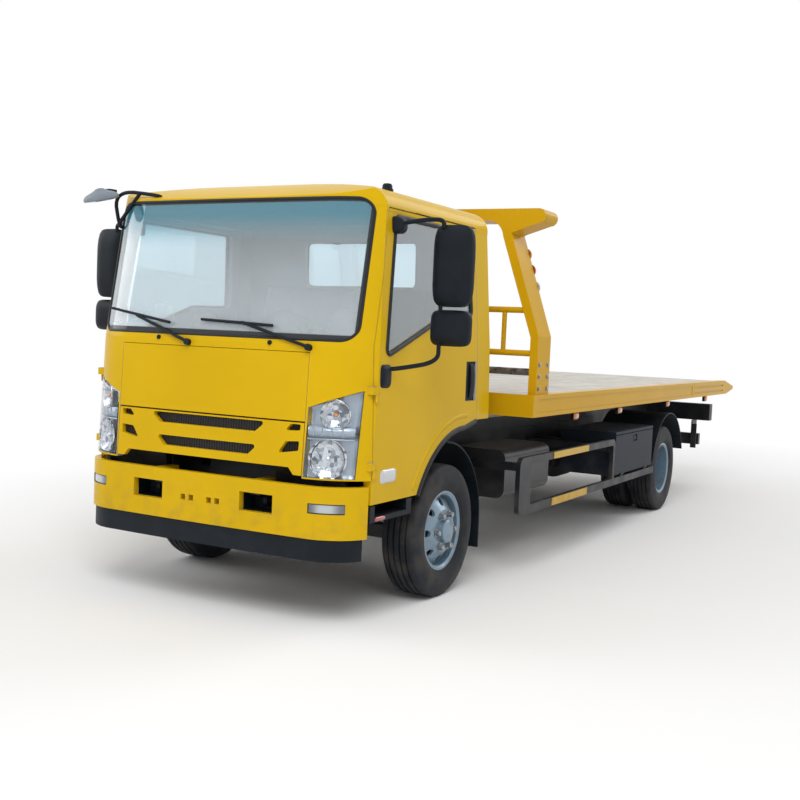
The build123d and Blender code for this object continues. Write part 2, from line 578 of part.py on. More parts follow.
# Rear crosswise beam in two halves, with its hanging brackets and tail lamps
REAR_BEAM_X = (TAIL_X + 570, TAIL_X + 690)
REAR_BEAM_Z = (757, 937)
REAR_BEAM_Y = (RAIL_Y + SEAT_GAP, 1060)
HANGER_TABLE = ((600, 660, 455), (890, 950, 455))
BRACKET_X = REAR_BEAM_X[0] + 60
BRACKET_Z = 676
BRACKET_PITCH_X = 50
BRACKET_PITCH_Z = 60
BRACKET_HOLE = 9
LAMP_Y = (470, 860)
LAMP_Z = (800, 900)
LAMP_DEPTH = 45

with BuildPart() as rear_beam:
    for side, _ in SIDES:
        block(REAR_BEAM_X, (side * REAR_BEAM_Y[0], side * REAR_BEAM_Y[1]), REAR_BEAM_Z)
        for y_in, y_out, bottom in HANGER_TABLE:
            block((REAR_BEAM_X[0] + 10, REAR_BEAM_X[1] + 90), (side * y_in, side * (y_in + 12)),
                  (bottom, REAR_BEAM_Z[0]))
            block((REAR_BEAM_X[1] + 78, REAR_BEAM_X[1] + 90), (side * y_in, side * y_out),
                  (bottom, REAR_BEAM_Z[0] - 40))
            for x in (-BRACKET_PITCH_X / 2, BRACKET_PITCH_X / 2):
                for z in (-BRACKET_PITCH_Z / 2, BRACKET_PITCH_Z / 2):
                    hole = sorted((side * (y_in - 1), side * (y_in + 13)))
                    cross_rod(BRACKET_X + x, BRACKET_Z + z, hole[0], hole[1], BRACKET_HOLE,
                              mode=Mode.SUBTRACT)
        block((REAR_BEAM_X[0] + 30, REAR_BEAM_X[1] - 20),
              (side * HANGER_TABLE[0][0], side * HANGER_TABLE[1][1]),
              (HANGER_TABLE[0][2] + 30, HANGER_TABLE[0][2] + 150))
save(rear_beam.part, "rear_beam")

with BuildPart() as tail_lamps:
    for side, _ in SIDES:
        block((REAR_BEAM_X[0] - LAMP_DEPTH, REAR_BEAM_X[0] - SEAT_GAP), (side * LAMP_Y[0], side * LAMP_Y[1]),
              LAMP_Z)
    fillet(tail_lamps.edges().filter_by(Axis.X), 14)
save(tail_lamps.part, "tail_lamps")

# Steering knuckles with their brake drums, and the tie rod behind the axle
LUG_RADIUS = 40
LUG_HEIGHT = 28
LUG_GAP = 1
BACKBONE_Y = (KINGPIN_Y + BOSS_RADIUS + 8, KINGPIN_Y + BOSS_RADIUS + 38)
FRONT_DRUM_RADIUS = 170
FRONT_DRUM_WIDTH = 80
FRONT_SPINDLE_RADIUS = 32
FRONT_SPINDLE_END = 932
STEER_ARM = 190
TIE_PIN_RADIUS = 12
TIE_EYE_RADIUS = 26
TIE_ROD_RADIUS = 16
LUG_TOP = AXLE_Z + BOSS_HEIGHT / 2 + LUG_GAP
LUG_BOTTOM = AXLE_Z - BOSS_HEIGHT / 2 - LUG_GAP
TIE_Z = LUG_BOTTOM - LUG_HEIGHT - 3

for side, name in SIDES:
    with BuildPart() as knuckle:
        pin_y = side * KINGPIN_Y
        for z in (LUG_TOP, LUG_BOTTOM - LUG_HEIGHT):
            with Locations((FRONT_AXLE_X, pin_y, z)):
                Cylinder(LUG_RADIUS, LUG_HEIGHT, align=(Align.CENTER, Align.CENTER, Align.MIN))
            block((FRONT_AXLE_X - 34, FRONT_AXLE_X + 34), (pin_y, side * BACKBONE_Y[0] + side * 6),
                  (z, z + LUG_HEIGHT))
        rod((FRONT_AXLE_X, pin_y, LUG_BOTTOM), (FRONT_AXLE_X, pin_y, LUG_TOP), KINGPIN_RADIUS)
        block((FRONT_AXLE_X - 46, FRONT_AXLE_X + 46), (side * BACKBONE_Y[0], side * BACKBONE_Y[1]),
              (LUG_BOTTOM - LUG_HEIGHT, LUG_TOP + LUG_HEIGHT))
        drum_y = (BACKBONE_Y[1], BACKBONE_Y[1] + FRONT_DRUM_WIDTH)
        spindle_y = (drum_y[0], FRONT_SPINDLE_END)
        for reach, radius in ((drum_y, FRONT_DRUM_RADIUS), (spindle_y, FRONT_SPINDLE_RADIUS)):
            y = sorted((side * reach[0], side * reach[1]))
            cross_rod(FRONT_AXLE_X, AXLE_Z, y[0], y[1], radius)
        block((FRONT_AXLE_X - STEER_ARM, FRONT_AXLE_X), (pin_y - 22, pin_y + 22),
              (LUG_BOTTOM - LUG_HEIGHT, LUG_BOTTOM))
        rod((FRONT_AXLE_X - STEER_ARM, pin_y, TIE_Z - 34), (FRONT_AXLE_X - STEER_ARM, pin_y, LUG_BOTTOM),
            TIE_PIN_RADIUS)
        with Locations((FRONT_AXLE_X - STEER_ARM, pin_y, LUG_BOTTOM - LUG_HEIGHT / 2)):
            Cylinder(TIE_EYE_RADIUS, LUG_HEIGHT)
    save(knuckle.part, f"knuckle_{name}")

with BuildPart() as tie_rod:
    cross_rod(FRONT_AXLE_X - STEER_ARM, TIE_Z - 17, -KINGPIN_Y, KINGPIN_Y, TIE_ROD_RADIUS)
    for side, _ in SIDES:
        with Locations((FRONT_AXLE_X - STEER_ARM, side * KINGPIN_Y, TIE_Z - 17)):
            Cylinder(TIE_EYE_RADIUS, 34)
            Cylinder(TIE_PIN_RADIUS + RUNNING_GAP, 40, mode=Mode.SUBTRACT)
save(tie_rod.part, "tie_rod")

# Wheels and tyres: outlines in axial position and radius, turned about the axle line
FRONT_WHEEL_Y = FRONT_TRACK / 2
REAR_HUB_Y = REAR_TRACK / 2
FRONT_FACE = 105
HUB_BORE_GAP = RUNNING_GAP
SPOKE_INNER_RADIUS = 124


def wheel_plane(axle_x):
    """A plane through the axle line: its local axes are the truck's Y and the radius."""
    return Plane(origin=(axle_x, 0, AXLE_Z), x_dir=(0, 1, 0), z_dir=(1, 0, 0))


def turned(axle_x, points, mode=Mode.ADD):
    """Adds a ring turned about the axle line from axial positions and radii."""
    with BuildSketch(wheel_plane(axle_x)) as outline:
        with BuildLine():
            Polyline(*points, close=True)
        make_face()
    revolve(outline.sketch, axis=Axis((axle_x, 0, AXLE_Z), (0, 1, 0)), mode=mode)


def rim_points(centre):
    """The rim's barrel with its flanges and bead seats."""
    half = RIM_WIDTH / 2
    inner = RIM_RADIUS - RIM_WALL
    return ((centre - half, RIM_FLANGE), (centre - half + 12, RIM_FLANGE), (centre - half + 15, RIM_RADIUS),
            (centre + half - 15, RIM_RADIUS), (centre + half - 12, RIM_FLANGE), (centre + half, RIM_FLANGE),
            (centre + half, RIM_FLANGE - 12), (centre + half - 9, inner), (centre - half + 9, inner),
            (centre - half, RIM_FLANGE - 12))


def ring_of_rods(axle_x, circle, count, y, radius, mode):
    """Adds or cuts equal round bars along Y on a circle about the axle line."""
    with BuildSketch(Plane(origin=(axle_x, min(y), AXLE_Z), x_dir=(1, 0, 0), z_dir=(0, 1, 0))) as outline:
        with PolarLocations(circle, count):
            Circle(radius)
    extrude(outline.sketch, amount=max(y) - min(y), mode=mode)


def tyre_ring(axle_x, centre):
    """Adds one tyre, seated on its rim."""
    half = TYRE_WIDTH / 2
    bead = RIM_WIDTH / 2 - 15 - SEAT_GAP
    base = RIM_RADIUS + SEAT_GAP
    lip = RIM_FLANGE + SEAT_GAP
    with BuildSketch(wheel_plane(axle_x)) as outline:
        with BuildLine():
            Line((centre - bead, base), (centre + bead, base))
            edge = TYRE_RADIUS - TREAD_CROWN
            ThreePointArc((centre - TREAD_HALF, edge), (centre, TYRE_RADIUS), (centre + TREAD_HALF, edge))
            for side in (-1, 1):
                Polyline((centre + side * bead, base), (centre + side * bead, lip),
                         (centre + side * RIM_WIDTH / 2, lip))
                shoulder = (centre + side * SHOULDER[0], SHOULDER[1])
                ThreePointArc((centre + side * RIM_WIDTH / 2, lip), (centre + side * half, BULGE_RADIUS), shoulder)
                ThreePointArc(shoulder, (centre + side * SHOULDER_MID[0], SHOULDER_MID[1]),
                              (centre + side * TREAD_HALF, edge))
        make_face()
    revolve(outline.sketch, axis=Axis((axle_x, 0, AXLE_Z), (0, 1, 0)))


for side, name in SIDES:
    centre = side * FRONT_WHEEL_Y
    face = centre + side * FRONT_FACE
    back = face - side * DISC_THICKNESS
    hub_in = side * (BACKBONE_Y[1] + FRONT_DRUM_WIDTH + SHUT_LINE)
    bore_end = side * (FRONT_SPINDLE_END + SHUT_LINE)
    bore = FRONT_SPINDLE_RADIUS + HUB_BORE_GAP
    with BuildPart() as wheel_front:
        turned(FRONT_AXLE_X, rim_points(centre))
        turned(FRONT_AXLE_X, ((centre + side * 22, RIM_RADIUS - RIM_WALL + 1),
                              (centre + side * 40, RIM_RADIUS - RIM_WALL + 1),
                              (face, SPOKE_INNER_RADIUS + 6), (face, 0), (bore_end, 0), (bore_end, bore),
                              (hub_in, bore), (hub_in, HUB_RADIUS), (back, HUB_RADIUS),
                              (back, SPOKE_INNER_RADIUS)))
        turned(FRONT_AXLE_X, ((face, 0), (face, 74), (face + side * 26, 70), (face + side * 34, 58),
                              (face + side * 36, 0)))
        ring_of_rods(FRONT_AXLE_X, STUD_CIRCLE / 2 - 4, STUD_COUNT, (face, face + side * 26), NUT_RADIUS,
                     Mode.ADD)
        ring_of_rods(FRONT_AXLE_X, HAND_HOLE_CIRCLE + 6, HAND_HOLES, (centre, face + side), HAND_HOLE_RADIUS,
                     Mode.SUBTRACT)
    save(wheel_front.part, f"wheel_front_{name}")
    with BuildPart() as tyre_front:
        tyre_ring(FRONT_AXLE_X, centre)
    save(tyre_front.part, f"tyre_front_{name}")

for side, name in SIDES:
    hub = side * REAR_HUB_Y
    hub_in = side * (DRUM_INNER_Y + DRUM_WIDTH + SHUT_LINE)
    bore_end = side * (REAR_SPINDLE_Y + SHUT_LINE)
    bore = REAR_SPINDLE_RADIUS + HUB_BORE_GAP
    centres = tuple(hub + step * DUAL_SPACING / 2 for step in (-1, 1))
    with BuildPart() as wheels_rear:
        for centre, step in zip(centres, (-1, 1)):
            turned(REAR_AXLE_X, rim_points(centre))
            turned(REAR_AXLE_X, ((hub, HUB_RADIUS - 2), (hub + step * DISC_THICKNESS, HUB_RADIUS - 2),
                                 (hub + step * DISC_THICKNESS, SPOKE_INNER_RADIUS),
                                 (centre - step * 22, RIM_RADIUS - RIM_WALL + 1),
                                 (centre - step * 42, RIM_RADIUS - RIM_WALL + 1),
                                 (hub, SPOKE_INNER_RADIUS + 12)))
        turned(REAR_AXLE_X, ((hub_in, bore), (bore_end, bore), (bore_end, 0), (hub + side * 96, 0),
                             (hub + side * 96, 58), (hub + side * 72, HUB_RADIUS - 6),
                             (hub + side * 60, HUB_RADIUS), (hub_in, HUB_RADIUS)))
        ring_of_rods(REAR_AXLE_X, STUD_CIRCLE / 2 - 4, STUD_COUNT, (hub, hub + side * 46), NUT_RADIUS,
                     Mode.ADD)
        ring_of_rods(REAR_AXLE_X, HAND_HOLE_CIRCLE + 6, HAND_HOLES,
                     (centres[0], centres[1]), HAND_HOLE_RADIUS, Mode.SUBTRACT)
    save(wheels_rear.part, f"wheels_rear_{name}")
    with BuildPart() as tyres_rear:
        for centre in centres:
            tyre_ring(REAR_AXLE_X, centre)
    save(tyres_rear.part, f"tyres_rear_{name}")

# Tilting frame: two beams, cross tubes and the long slide cylinder between them
SLIDE_Z = 1003
SLIDE_RADIUS = 46
SLIDE_ROD_RADIUS = 26
SLIDE_X = (REAR_AXLE_X - 100, FRONT_AXLE_X - 1100)
SLIDE_EYE_X = SLIDE_X[0] - 200
TUBE_COUNT = 7
FIRST_TUBE_X = TILT_FRONT_X - 60
TUBE_PITCH = (FIRST_TUBE_X - REAR_AXLE_X + 670) / (TUBE_COUNT - 1)
CROSS_TUBES = tuple(FIRST_TUBE_X - tube * TUBE_PITCH for tube in range(TUBE_COUNT))
CROSS_TUBE_RADIUS = 32
LIFT_TOP_RADIUS = 20

with BuildPart() as tilt_frame:
    for side, _ in SIDES:
        block((TILT_PIVOT_X - 20, TILT_FRONT_X),
              (side * (TILT_BEAM_Y - TILT_BEAM_WIDTH / 2), side * (TILT_BEAM_Y + TILT_BEAM_WIDTH / 2)),
              (TILT_BEAM_BOTTOM, TILT_BEAM_TOP))
    side_plate(((TILT_PIVOT_X - 30, TILT_BEAM_BOTTOM - 1), (TILT_PIVOT_X + 4, TILT_BEAM_BOTTOM - 1),
                (TILT_PIVOT_X - 30, TILT_BEAM_BOTTOM + 24)), -RAIL_Y, RAIL_Y, mode=Mode.SUBTRACT)
    half = TILT_BEAM_Y - TILT_BEAM_WIDTH / 2 + 2
    for x in CROSS_TUBES:
        cross_rod(x, (TILT_BEAM_BOTTOM + TILT_BEAM_TOP) / 2, -half, half, CROSS_TUBE_RADIUS)
    cross_rod(LIFT_TOP_X, TILT_PIVOT_Z, -half, half, LIFT_TOP_RADIUS)
    cross_rod(TILT_PIVOT_X, TILT_PIVOT_Z, -half, half, TILT_PIN_RADIUS)
    rod((SLIDE_X[0], 0, SLIDE_Z), (SLIDE_X[1], 0, SLIDE_Z), SLIDE_RADIUS)
    for x in (CROSS_TUBES[1], CROSS_TUBES[5]):
        block((x - 30, x + 30), (-36, 36), (TILT_BEAM_TOP - 50, SLIDE_Z))
    rod((SLIDE_X[0] - 1, 0, SLIDE_Z), (SLIDE_X[1] - 40, 0, SLIDE_Z), SLIDE_ROD_RADIUS + RUNNING_GAP,
        mode=Mode.SUBTRACT)
save(tilt_frame.part, "tilt_frame")

# Lift cylinders: barrels on the chassis brackets, rods up to the tilting frame
BARREL_RADIUS = 50
BARREL_LENGTH = 335
LIFT_ROD_RADIUS = 30
LIFT_ROD_TAIL = 100
LIFT_FOOT = Vector(LIFT_FOOT_X, 0, LIFT_FOOT_Z)
LIFT_AXIS = Vector(LIFT_TOP_X, 0, TILT_PIVOT_Z) - LIFT_FOOT
LIFT_CLOSED = LIFT_AXIS.length
LIFT_EYE_GAP = 7


def along_lift(distance, y):
    """A point on a lift cylinder's centre line, measured from its foot pin."""
    point = LIFT_FOOT + LIFT_AXIS.normalized() * distance
    return (point.X, y, point.Z)


with BuildPart() as lift_barrels:
    for side, _ in SIDES:
        y = side * LIFT_Y
        cross_rod(LIFT_FOOT_X, LIFT_FOOT_Z, y - LIFT_EYE_WIDTH / 2, y + LIFT_EYE_WIDTH / 2,
                  LIFT_PIN_RADIUS + 18)
        rod(along_lift(36, y), along_lift(BARREL_LENGTH, y), BARREL_RADIUS)
        rod(along_lift(LIFT_ROD_TAIL - 12, y), along_lift(BARREL_LENGTH + 1, y),
            LIFT_ROD_RADIUS + RUNNING_GAP, mode=Mode.SUBTRACT)
        cross_rod(LIFT_FOOT_X, LIFT_FOOT_Z, y - LIFT_EYE_WIDTH, y + LIFT_EYE_WIDTH,
                  LIFT_PIN_RADIUS + RUNNING_GAP, mode=Mode.SUBTRACT)
save(lift_barrels.part, "lift_barrels")

with BuildPart() as lift_rods:
    for side, _ in SIDES:
        y = side * LIFT_Y
        rod(along_lift(LIFT_ROD_TAIL, y), along_lift(LIFT_CLOSED - 30, y), LIFT_ROD_RADIUS)
        cross_rod(LIFT_TOP_X, TILT_PIVOT_Z, y - 25, y + 25, LIFT_TOP_RADIUS + LIFT_EYE_GAP + 14)
        cross_rod(LIFT_TOP_X, TILT_PIVOT_Z, y - 40, y + 40, LIFT_TOP_RADIUS + LIFT_EYE_GAP,
                  mode=Mode.SUBTRACT)
save(lift_rods.part, "lift_rods")

# Bed: deck on cross channels and sills, then its yellow side rails and tail
DECK_HALF = BED_HALF_WIDTH - BED_RAIL_WIDTH - SEAT_GAP
CHANNEL_BOTTOM = 1060
CHANNEL_WIDTH = 60
CHANNEL_COUNT = 10
CHANNEL_FIRST_X = BED_FRONT_X - 110
CHANNEL_PITCH = (CHANNEL_FIRST_X - TAIL_X - 590) / (CHANNEL_COUNT - 1)
SILL_REAR_X = TAIL_X + 420
DECK_SEAM_X = FRONT_AXLE_X - 1480
DECK_SEAM = (10, 4)
TAIL_BEND_X = TAIL_X + TAIL_NOSE_LENGTH
DECK_TOP = DECK_BOTTOM + DECK_PLATE

with BuildPart() as bed_deck:
    side_plate(((BED_FRONT_X - 6, DECK_BOTTOM), (BED_FRONT_X - 6, DECK_TOP), (TAIL_BEND_X, DECK_TOP),
                (TAIL_X + 4, DECK_TOP - TAIL_NOSE_DROP), (TAIL_X + 4, DECK_BOTTOM - TAIL_NOSE_DROP),
                (TAIL_BEND_X, DECK_BOTTOM)), -DECK_HALF, DECK_HALF)
    for i in range(CHANNEL_COUNT):
        x = CHANNEL_FIRST_X - i * CHANNEL_PITCH
        block((x - CHANNEL_WIDTH, x), (-DECK_HALF, DECK_HALF), (CHANNEL_BOTTOM, DECK_BOTTOM + 2))
    for side, _ in SIDES:
        block((SILL_REAR_X, CHANNEL_FIRST_X),
              (side * (TILT_BEAM_Y - SILL_WIDTH / 2), side * (TILT_BEAM_Y + SILL_WIDTH / 2)),
              (SILL_BOTTOM, CHANNEL_BOTTOM + 2))
        block((SILL_REAR_X, CHANNEL_FIRST_X),
              (side * (TILT_BEAM_Y - 8), side * (TILT_BEAM_Y + 8)), (CHANNEL_BOTTOM, DECK_BOTTOM + 2))
    slide_lug = (SLIDE_EYE_X - 60, SLIDE_EYE_X - SEAT_GAP)
    block(slide_lug, (-45, 45), (SLIDE_Z - 38, CHANNEL_BOTTOM + 20))
    block(slide_lug, (-DECK_HALF, DECK_HALF), (CHANNEL_BOTTOM, DECK_BOTTOM + 2))
    block((DECK_SEAM_X - DECK_SEAM[0], DECK_SEAM_X), (-DECK_HALF, DECK_HALF),
          (DECK_TOP - DECK_SEAM[1], DECK_TOP), mode=Mode.SUBTRACT)
save(bed_deck.part, "bed_deck")

with BuildPart() as slide_rod:
    rod((SLIDE_EYE_X, 0, SLIDE_Z), (SLIDE_X[1] - 60, 0, SLIDE_Z), SLIDE_ROD_RADIUS)
save(slide_rod.part, "slide_rod")

with BuildPart() as bed_rails:
    for side, _ in SIDES:
        y = sorted((side * (BED_HALF_WIDTH - BED_RAIL_WIDTH), side * BED_HALF_WIDTH))
        outline = ((BED_FRONT_X, BED_RAIL_BOTTOM), (BED_FRONT_X, BED_TOP), (TAIL_BEND_X, BED_TOP),
                   (TAIL_X, BED_TOP - TAIL_NOSE_DROP), (TAIL_X, BED_TOP - TAIL_NOSE_DROP - 30),
                   (TAIL_BEND_X - 90, BED_RAIL_BOTTOM))
        side_plate(outline, y[0], y[1])
    block((BED_FRONT_X - 5, BED_FRONT_X), (-BED_HALF_WIDTH, BED_HALF_WIDTH), (BED_RAIL_BOTTOM, BED_TOP))
    block((TAIL_X, TAIL_X + 3), (-BED_HALF_WIDTH, BED_HALF_WIDTH),
          (BED_TOP - TAIL_NOSE_DROP - 30, BED_TOP - TAIL_NOSE_DROP))
    for side, _ in SIDES:
        for z in (BED_RAIL_BOTTOM + 42, BED_TOP - 50):
            groove = sorted((side * (BED_HALF_WIDTH - 6), side * (BED_HALF_WIDTH + 1)))
            block((TAIL_X + 520, TAIL_JOINT_X - 40), (groove[0], groove[1]), (z - 9, z + 9),
                  mode=Mode.SUBTRACT)
        groove = sorted((side * (BED_HALF_WIDTH - 5), side * (BED_HALF_WIDTH + 1)))
        block((TAIL_JOINT_X - 8, TAIL_JOINT_X), (groove[0], groove[1]), (BED_RAIL_BOTTOM, BED_TOP),
              mode=Mode.SUBTRACT)
        block((TAIL_JOINT_X + 60, BED_FRONT_X - 80), (groove[0], groove[1]),
              (BED_RAIL_BOTTOM + 28, BED_TOP - 30), mode=Mode.SUBTRACT)
save(bed_rails.part, "bed_rails")

# Headboard: leaning posts under a winged top beam, with a tubular guard between them
POST_X = (FRONT_AXLE_X - 1125, FRONT_AXLE_X - 898)
POST_FOOT = BED_TOP + SEAT_GAP
POST_THICKNESS = 56
POST_Y = 1130
KNEE_Z = BED_TOP + 385
WING_Y = 1136
HEAD_TOP = 2428
HEAD_DEPTH = 82
HEAD_UNDERSIDE = HEAD_TOP - HEAD_DEPTH
NECK = (902, HEAD_UNDERSIDE - 84)
GUARD_X = POST_X[1] - 26
GUARD_TUBE = 20
GUARD_ROWS = (BED_TOP + 270, BED_TOP + 555)
GUARD_COLUMNS = (-870, -435, 0, 435, 870)
LAMP_ROWS = (HEAD_TOP - 293, HEAD_TOP - 400, HEAD_TOP - 513)
LAMP_SETBACK = 33
TUBE_SETBACK = 46
ROUND_LAMP_RADIUS = 46
ROUND_LAMP_DEPTH = 34
WORK_LAMP_X = (POST_X[0] + 70, POST_X[0] + 150)
WORK_LAMP_Y = 560
WORK_LAMP_Z = HEAD_UNDERSIDE - 96
WORK_LAMP_RADIUS = 52


def post_edge(z):
    """How far out the headboard's post reaches at a height."""
    lean = (POST_Y - NECK[0]) / (NECK[1] - KNEE_Z)
    return POST_Y - lean * max(z - KNEE_Z, 0)


with BuildPart() as headboard:
    with BuildSketch(front_plane(POST_X[0])) as outline:
        with BuildLine():
            Polyline((0, HEAD_TOP), (WING_Y - 50, HEAD_TOP - 6))
            ThreePointArc((WING_Y - 50, HEAD_TOP - 6), (WING_Y, HEAD_TOP - 52), (WING_Y - 44, HEAD_TOP - 102))
            Polyline((WING_Y - 44, HEAD_TOP - 102), (NECK[0] + 22, NECK[1] + 10), NECK, (POST_Y, KNEE_Z),
                     (POST_Y, POST_FOOT), (POST_Y - POST_THICKNESS, POST_FOOT),
                     (POST_Y - POST_THICKNESS, KNEE_Z - 12), (NECK[0] - POST_THICKNESS - 4, NECK[1] - 22))
            ThreePointArc((NECK[0] - POST_THICKNESS - 4, NECK[1] - 22), (NECK[0] - 94, NECK[1] + 50),
                          (NECK[0] - 200, HEAD_UNDERSIDE))
            Polyline((NECK[0] - 200, HEAD_UNDERSIDE), (0, HEAD_UNDERSIDE), (0, HEAD_TOP))
        make_face()
        mirror(about=Plane.YZ)
    extrude(amount=POST_X[1] - POST_X[0])
    for z in GUARD_ROWS:
        reach = post_edge(z) - TUBE_SETBACK
        cross_rod(GUARD_X, z, -reach, reach, GUARD_TUBE)
    for y in GUARD_COLUMNS:
        rod((GUARD_X, y, GUARD_ROWS[0]), (GUARD_X, y, GUARD_ROWS[1]), GUARD_TUBE - 4)
save(headboard.part, "headboard")

with BuildPart() as gantry_lamps:
    for side, _ in SIDES:
        for z in LAMP_ROWS:
            y = side * (post_edge(z) - LAMP_SETBACK)
            rod((POST_X[0] - ROUND_LAMP_DEPTH, y, z), (POST_X[0] - SEAT_GAP, y, z), ROUND_LAMP_RADIUS)
        work_y = side * WORK_LAMP_Y
        rod((WORK_LAMP_X[0], work_y, WORK_LAMP_Z), (WORK_LAMP_X[1], work_y, WORK_LAMP_Z), WORK_LAMP_RADIUS)
        block((WORK_LAMP_X[0] + 25, WORK_LAMP_X[1] - 25), (work_y - 15, work_y + 15),
              (WORK_LAMP_Z + 36, HEAD_UNDERSIDE - SEAT_GAP))
save(gantry_lamps.part, "gantry_lamps")

# Winch behind the headboard, and the dark bar between the posts' feet
WINCH_X = FRONT_AXLE_X - 1290
WINCH_Z = 1335
WINCH_HALF = 290
DRUM_BARREL = 68
DRUM_FLANGE = 112
WINCH_PIN = 22
FOOT_BAR_Z = 1345
FOOT_BAR_RADIUS = 24

with BuildPart() as winch_frame:
    block((WINCH_X - 150, WINCH_X + 150), (-WINCH_HALF - 30, WINCH_HALF + 30),
          (DECK_TOP + SEAT_GAP, DECK_TOP + 14))
    for side, _ in SIDES:
        plate = sorted((side * WINCH_HALF, side * (WINCH_HALF + 26)))
        side_plate(((WINCH_X - 140, DECK_TOP + 10), (WINCH_X + 140, DECK_TOP + 10),
                    (WINCH_X + 90, WINCH_Z + 60), (WINCH_X - 90, WINCH_Z + 60)), plate[0], plate[1])
    cross_rod(WINCH_X + 95, WINCH_Z - 90, -WINCH_HALF - 5, WINCH_HALF + 5, 18)
    cross_rod(WINCH_X, WINCH_Z, -WINCH_HALF - 40, WINCH_HALF + 40, WINCH_PIN + RUNNING_GAP,
              mode=Mode.SUBTRACT)
    bar_half = POST_Y - POST_THICKNESS - SEAT_GAP
    cross_rod(POST_X[1] - 60, FOOT_BAR_Z, -bar_half, bar_half, FOOT_BAR_RADIUS)
save(winch_frame.part, "winch_frame")

with BuildPart() as winch_drum:
    cross_rod(WINCH_X, WINCH_Z, -WINCH_HALF - 24, WINCH_HALF + 24, WINCH_PIN)
    cross_rod(WINCH_X, WINCH_Z, -WINCH_HALF + 6, WINCH_HALF - 6, DRUM_BARREL)
    for side, _ in SIDES:
        flange = sorted((side * (WINCH_HALF - 18), side * (WINCH_HALF - 6)))
        cross_rod(WINCH_X, WINCH_Z, flange[0], flange[1], DRUM_FLANGE)
        for hole in range(4):
            angle = math.radians(45 + 90 * hole)
            cross_rod(WINCH_X + 90 * math.cos(angle), WINCH_Z + 90 * math.sin(angle), flange[0], flange[1], 9,
                      mode=Mode.SUBTRACT)
save(winch_drum.part, "winch_drum")

# Cab form: its plan raked back, cut to its front view and its side view, at any inset
ROOF_EDGE = (838, 2332)
PROFILE_LOW = 400


def screen_shift(z):
    """How far back the cab's plan lies at a height."""
    low = min(z, BELT_Z) - CAB_BOTTOM
    return FRONT_RAKE * low + SCREEN_RAKE * max(z - BELT_Z, 0)


def plan_sketch(z, inset):
    """The cab's plan at a height: bowed nose, round corners, straight sides."""
    back = CAB_BACK_X - 500
    shift = screen_shift(z)
    with BuildSketch(Plane.XY.offset(z)) as plan:
        with BuildLine():
            ThreePointArc((CAB_CORNER_X - shift, -CORNER_Y), (CAB_NOSE_X - shift, 0),
                          (CAB_CORNER_X - shift, CORNER_Y))
            for side, _ in SIDES:
                corner = (CAB_CORNER_X - 190 - shift, side * CAB_HALF_WIDTH)
                ThreePointArc((CAB_CORNER_X - shift, side * CORNER_Y),
                              (CAB_CORNER_X - 96 - shift, side * 880), corner)
                Line(corner, (back, side * CAB_HALF_WIDTH))
            Line((back, -CAB_HALF_WIDTH), (back, CAB_HALF_WIDTH))
        make_face()
        if inset:
            offset(amount=-inset, mode=Mode.REPLACE)
    return plan.sketch


def cab_volume(inset, low=CAB_BOTTOM):
    """The cab's outer form, smaller all round by the inset, open to any depth below."""
    with BuildPart() as form:
        lean = math.hypot(1, FRONT_RAKE)
        extrude(plan_sketch(low, inset), amount=(BELT_Z - low) * lean, dir=(-FRONT_RAKE, 0, 1))
        lean = math.hypot(1, SCREEN_RAKE)
        extrude(plan_sketch(BELT_Z, inset), amount=(ROOF_TOP + 100 - BELT_Z) * lean, dir=(-SCREEN_RAKE, 0, 1))
        with BuildSketch(front_plane(CAB_BACK_X - 600)) as front_view:
            with BuildLine():
                Line((-950, PROFILE_LOW), (950, PROFILE_LOW))
                ThreePointArc((-ROOF_EDGE[0], ROOF_EDGE[1]), (0, ROOF_TOP), ROOF_EDGE)
                for side, _ in SIDES:
                    Polyline((side * 950, PROFILE_LOW), (side * CAB_HALF_WIDTH, 1100), (side * 955, 1500),
                             (side * 916, 2200))
                    ThreePointArc((side * 916, 2200), (side * 894, 2292), (side * ROOF_EDGE[0], ROOF_EDGE[1]))
            make_face()
            if inset:
                offset(amount=-inset, mode=Mode.REPLACE)
        extrude(amount=2600, mode=Mode.INTERSECT)
        back_top = CAB_BACK_X + CAB_BACK_LEAN * (2270 - ARCH_Z)
        back_low = CAB_BACK_X - CAB_BACK_LEAN * (ARCH_Z - PROFILE_LOW)
        with BuildSketch(side_plane(1300)) as side_view:
            with BuildLine():
                Polyline((back_top, 2270), (back_low, PROFILE_LOW), (FRONT_AXLE_X + 1400, PROFILE_LOW),
                         (FRONT_AXLE_X + 1400, 2190), (FRONT_AXLE_X + 960, 2262))
                ThreePointArc((FRONT_AXLE_X + 960, 2262), (FRONT_AXLE_X + 720, 2362),
                              (FRONT_AXLE_X + 330, ROOF_TOP))
                ThreePointArc((FRONT_AXLE_X + 330, ROOF_TOP), (FRONT_AXLE_X - 80, 2386),
                              (back_top + 62, 2346))
                ThreePointArc((back_top + 62, 2346), (back_top + 17, 2319), (back_top, 2270))
            make_face()
            if inset:
                offset(amount=-inset, mode=Mode.REPLACE)
        extrude(amount=2600, mode=Mode.INTERSECT)
    return form.part


OUTER = cab_volume(0)
INNER = cab_volume(CAB_WALL, PROFILE_LOW + 150)
with BuildPart() as cab_shell:
    add(OUTER)
    add(INNER, mode=Mode.SUBTRACT)
with BuildPart() as glass_shell:
    add(cab_volume(GLASS_INSET))
    add(cab_volume(GLASS_INSET + GLASS_THICKNESS, PROFILE_LOW + 150), mode=Mode.SUBTRACT)
ROOM = cab_volume(CAB_WALL + SHUT_LINE, PROFILE_LOW + 150)
SEAT_ROOM = cab_volume(CAB_WALL + SEAT_GAP, PROFILE_LOW + 150)
SKIN = cab_volume(-SEAT_GAP)

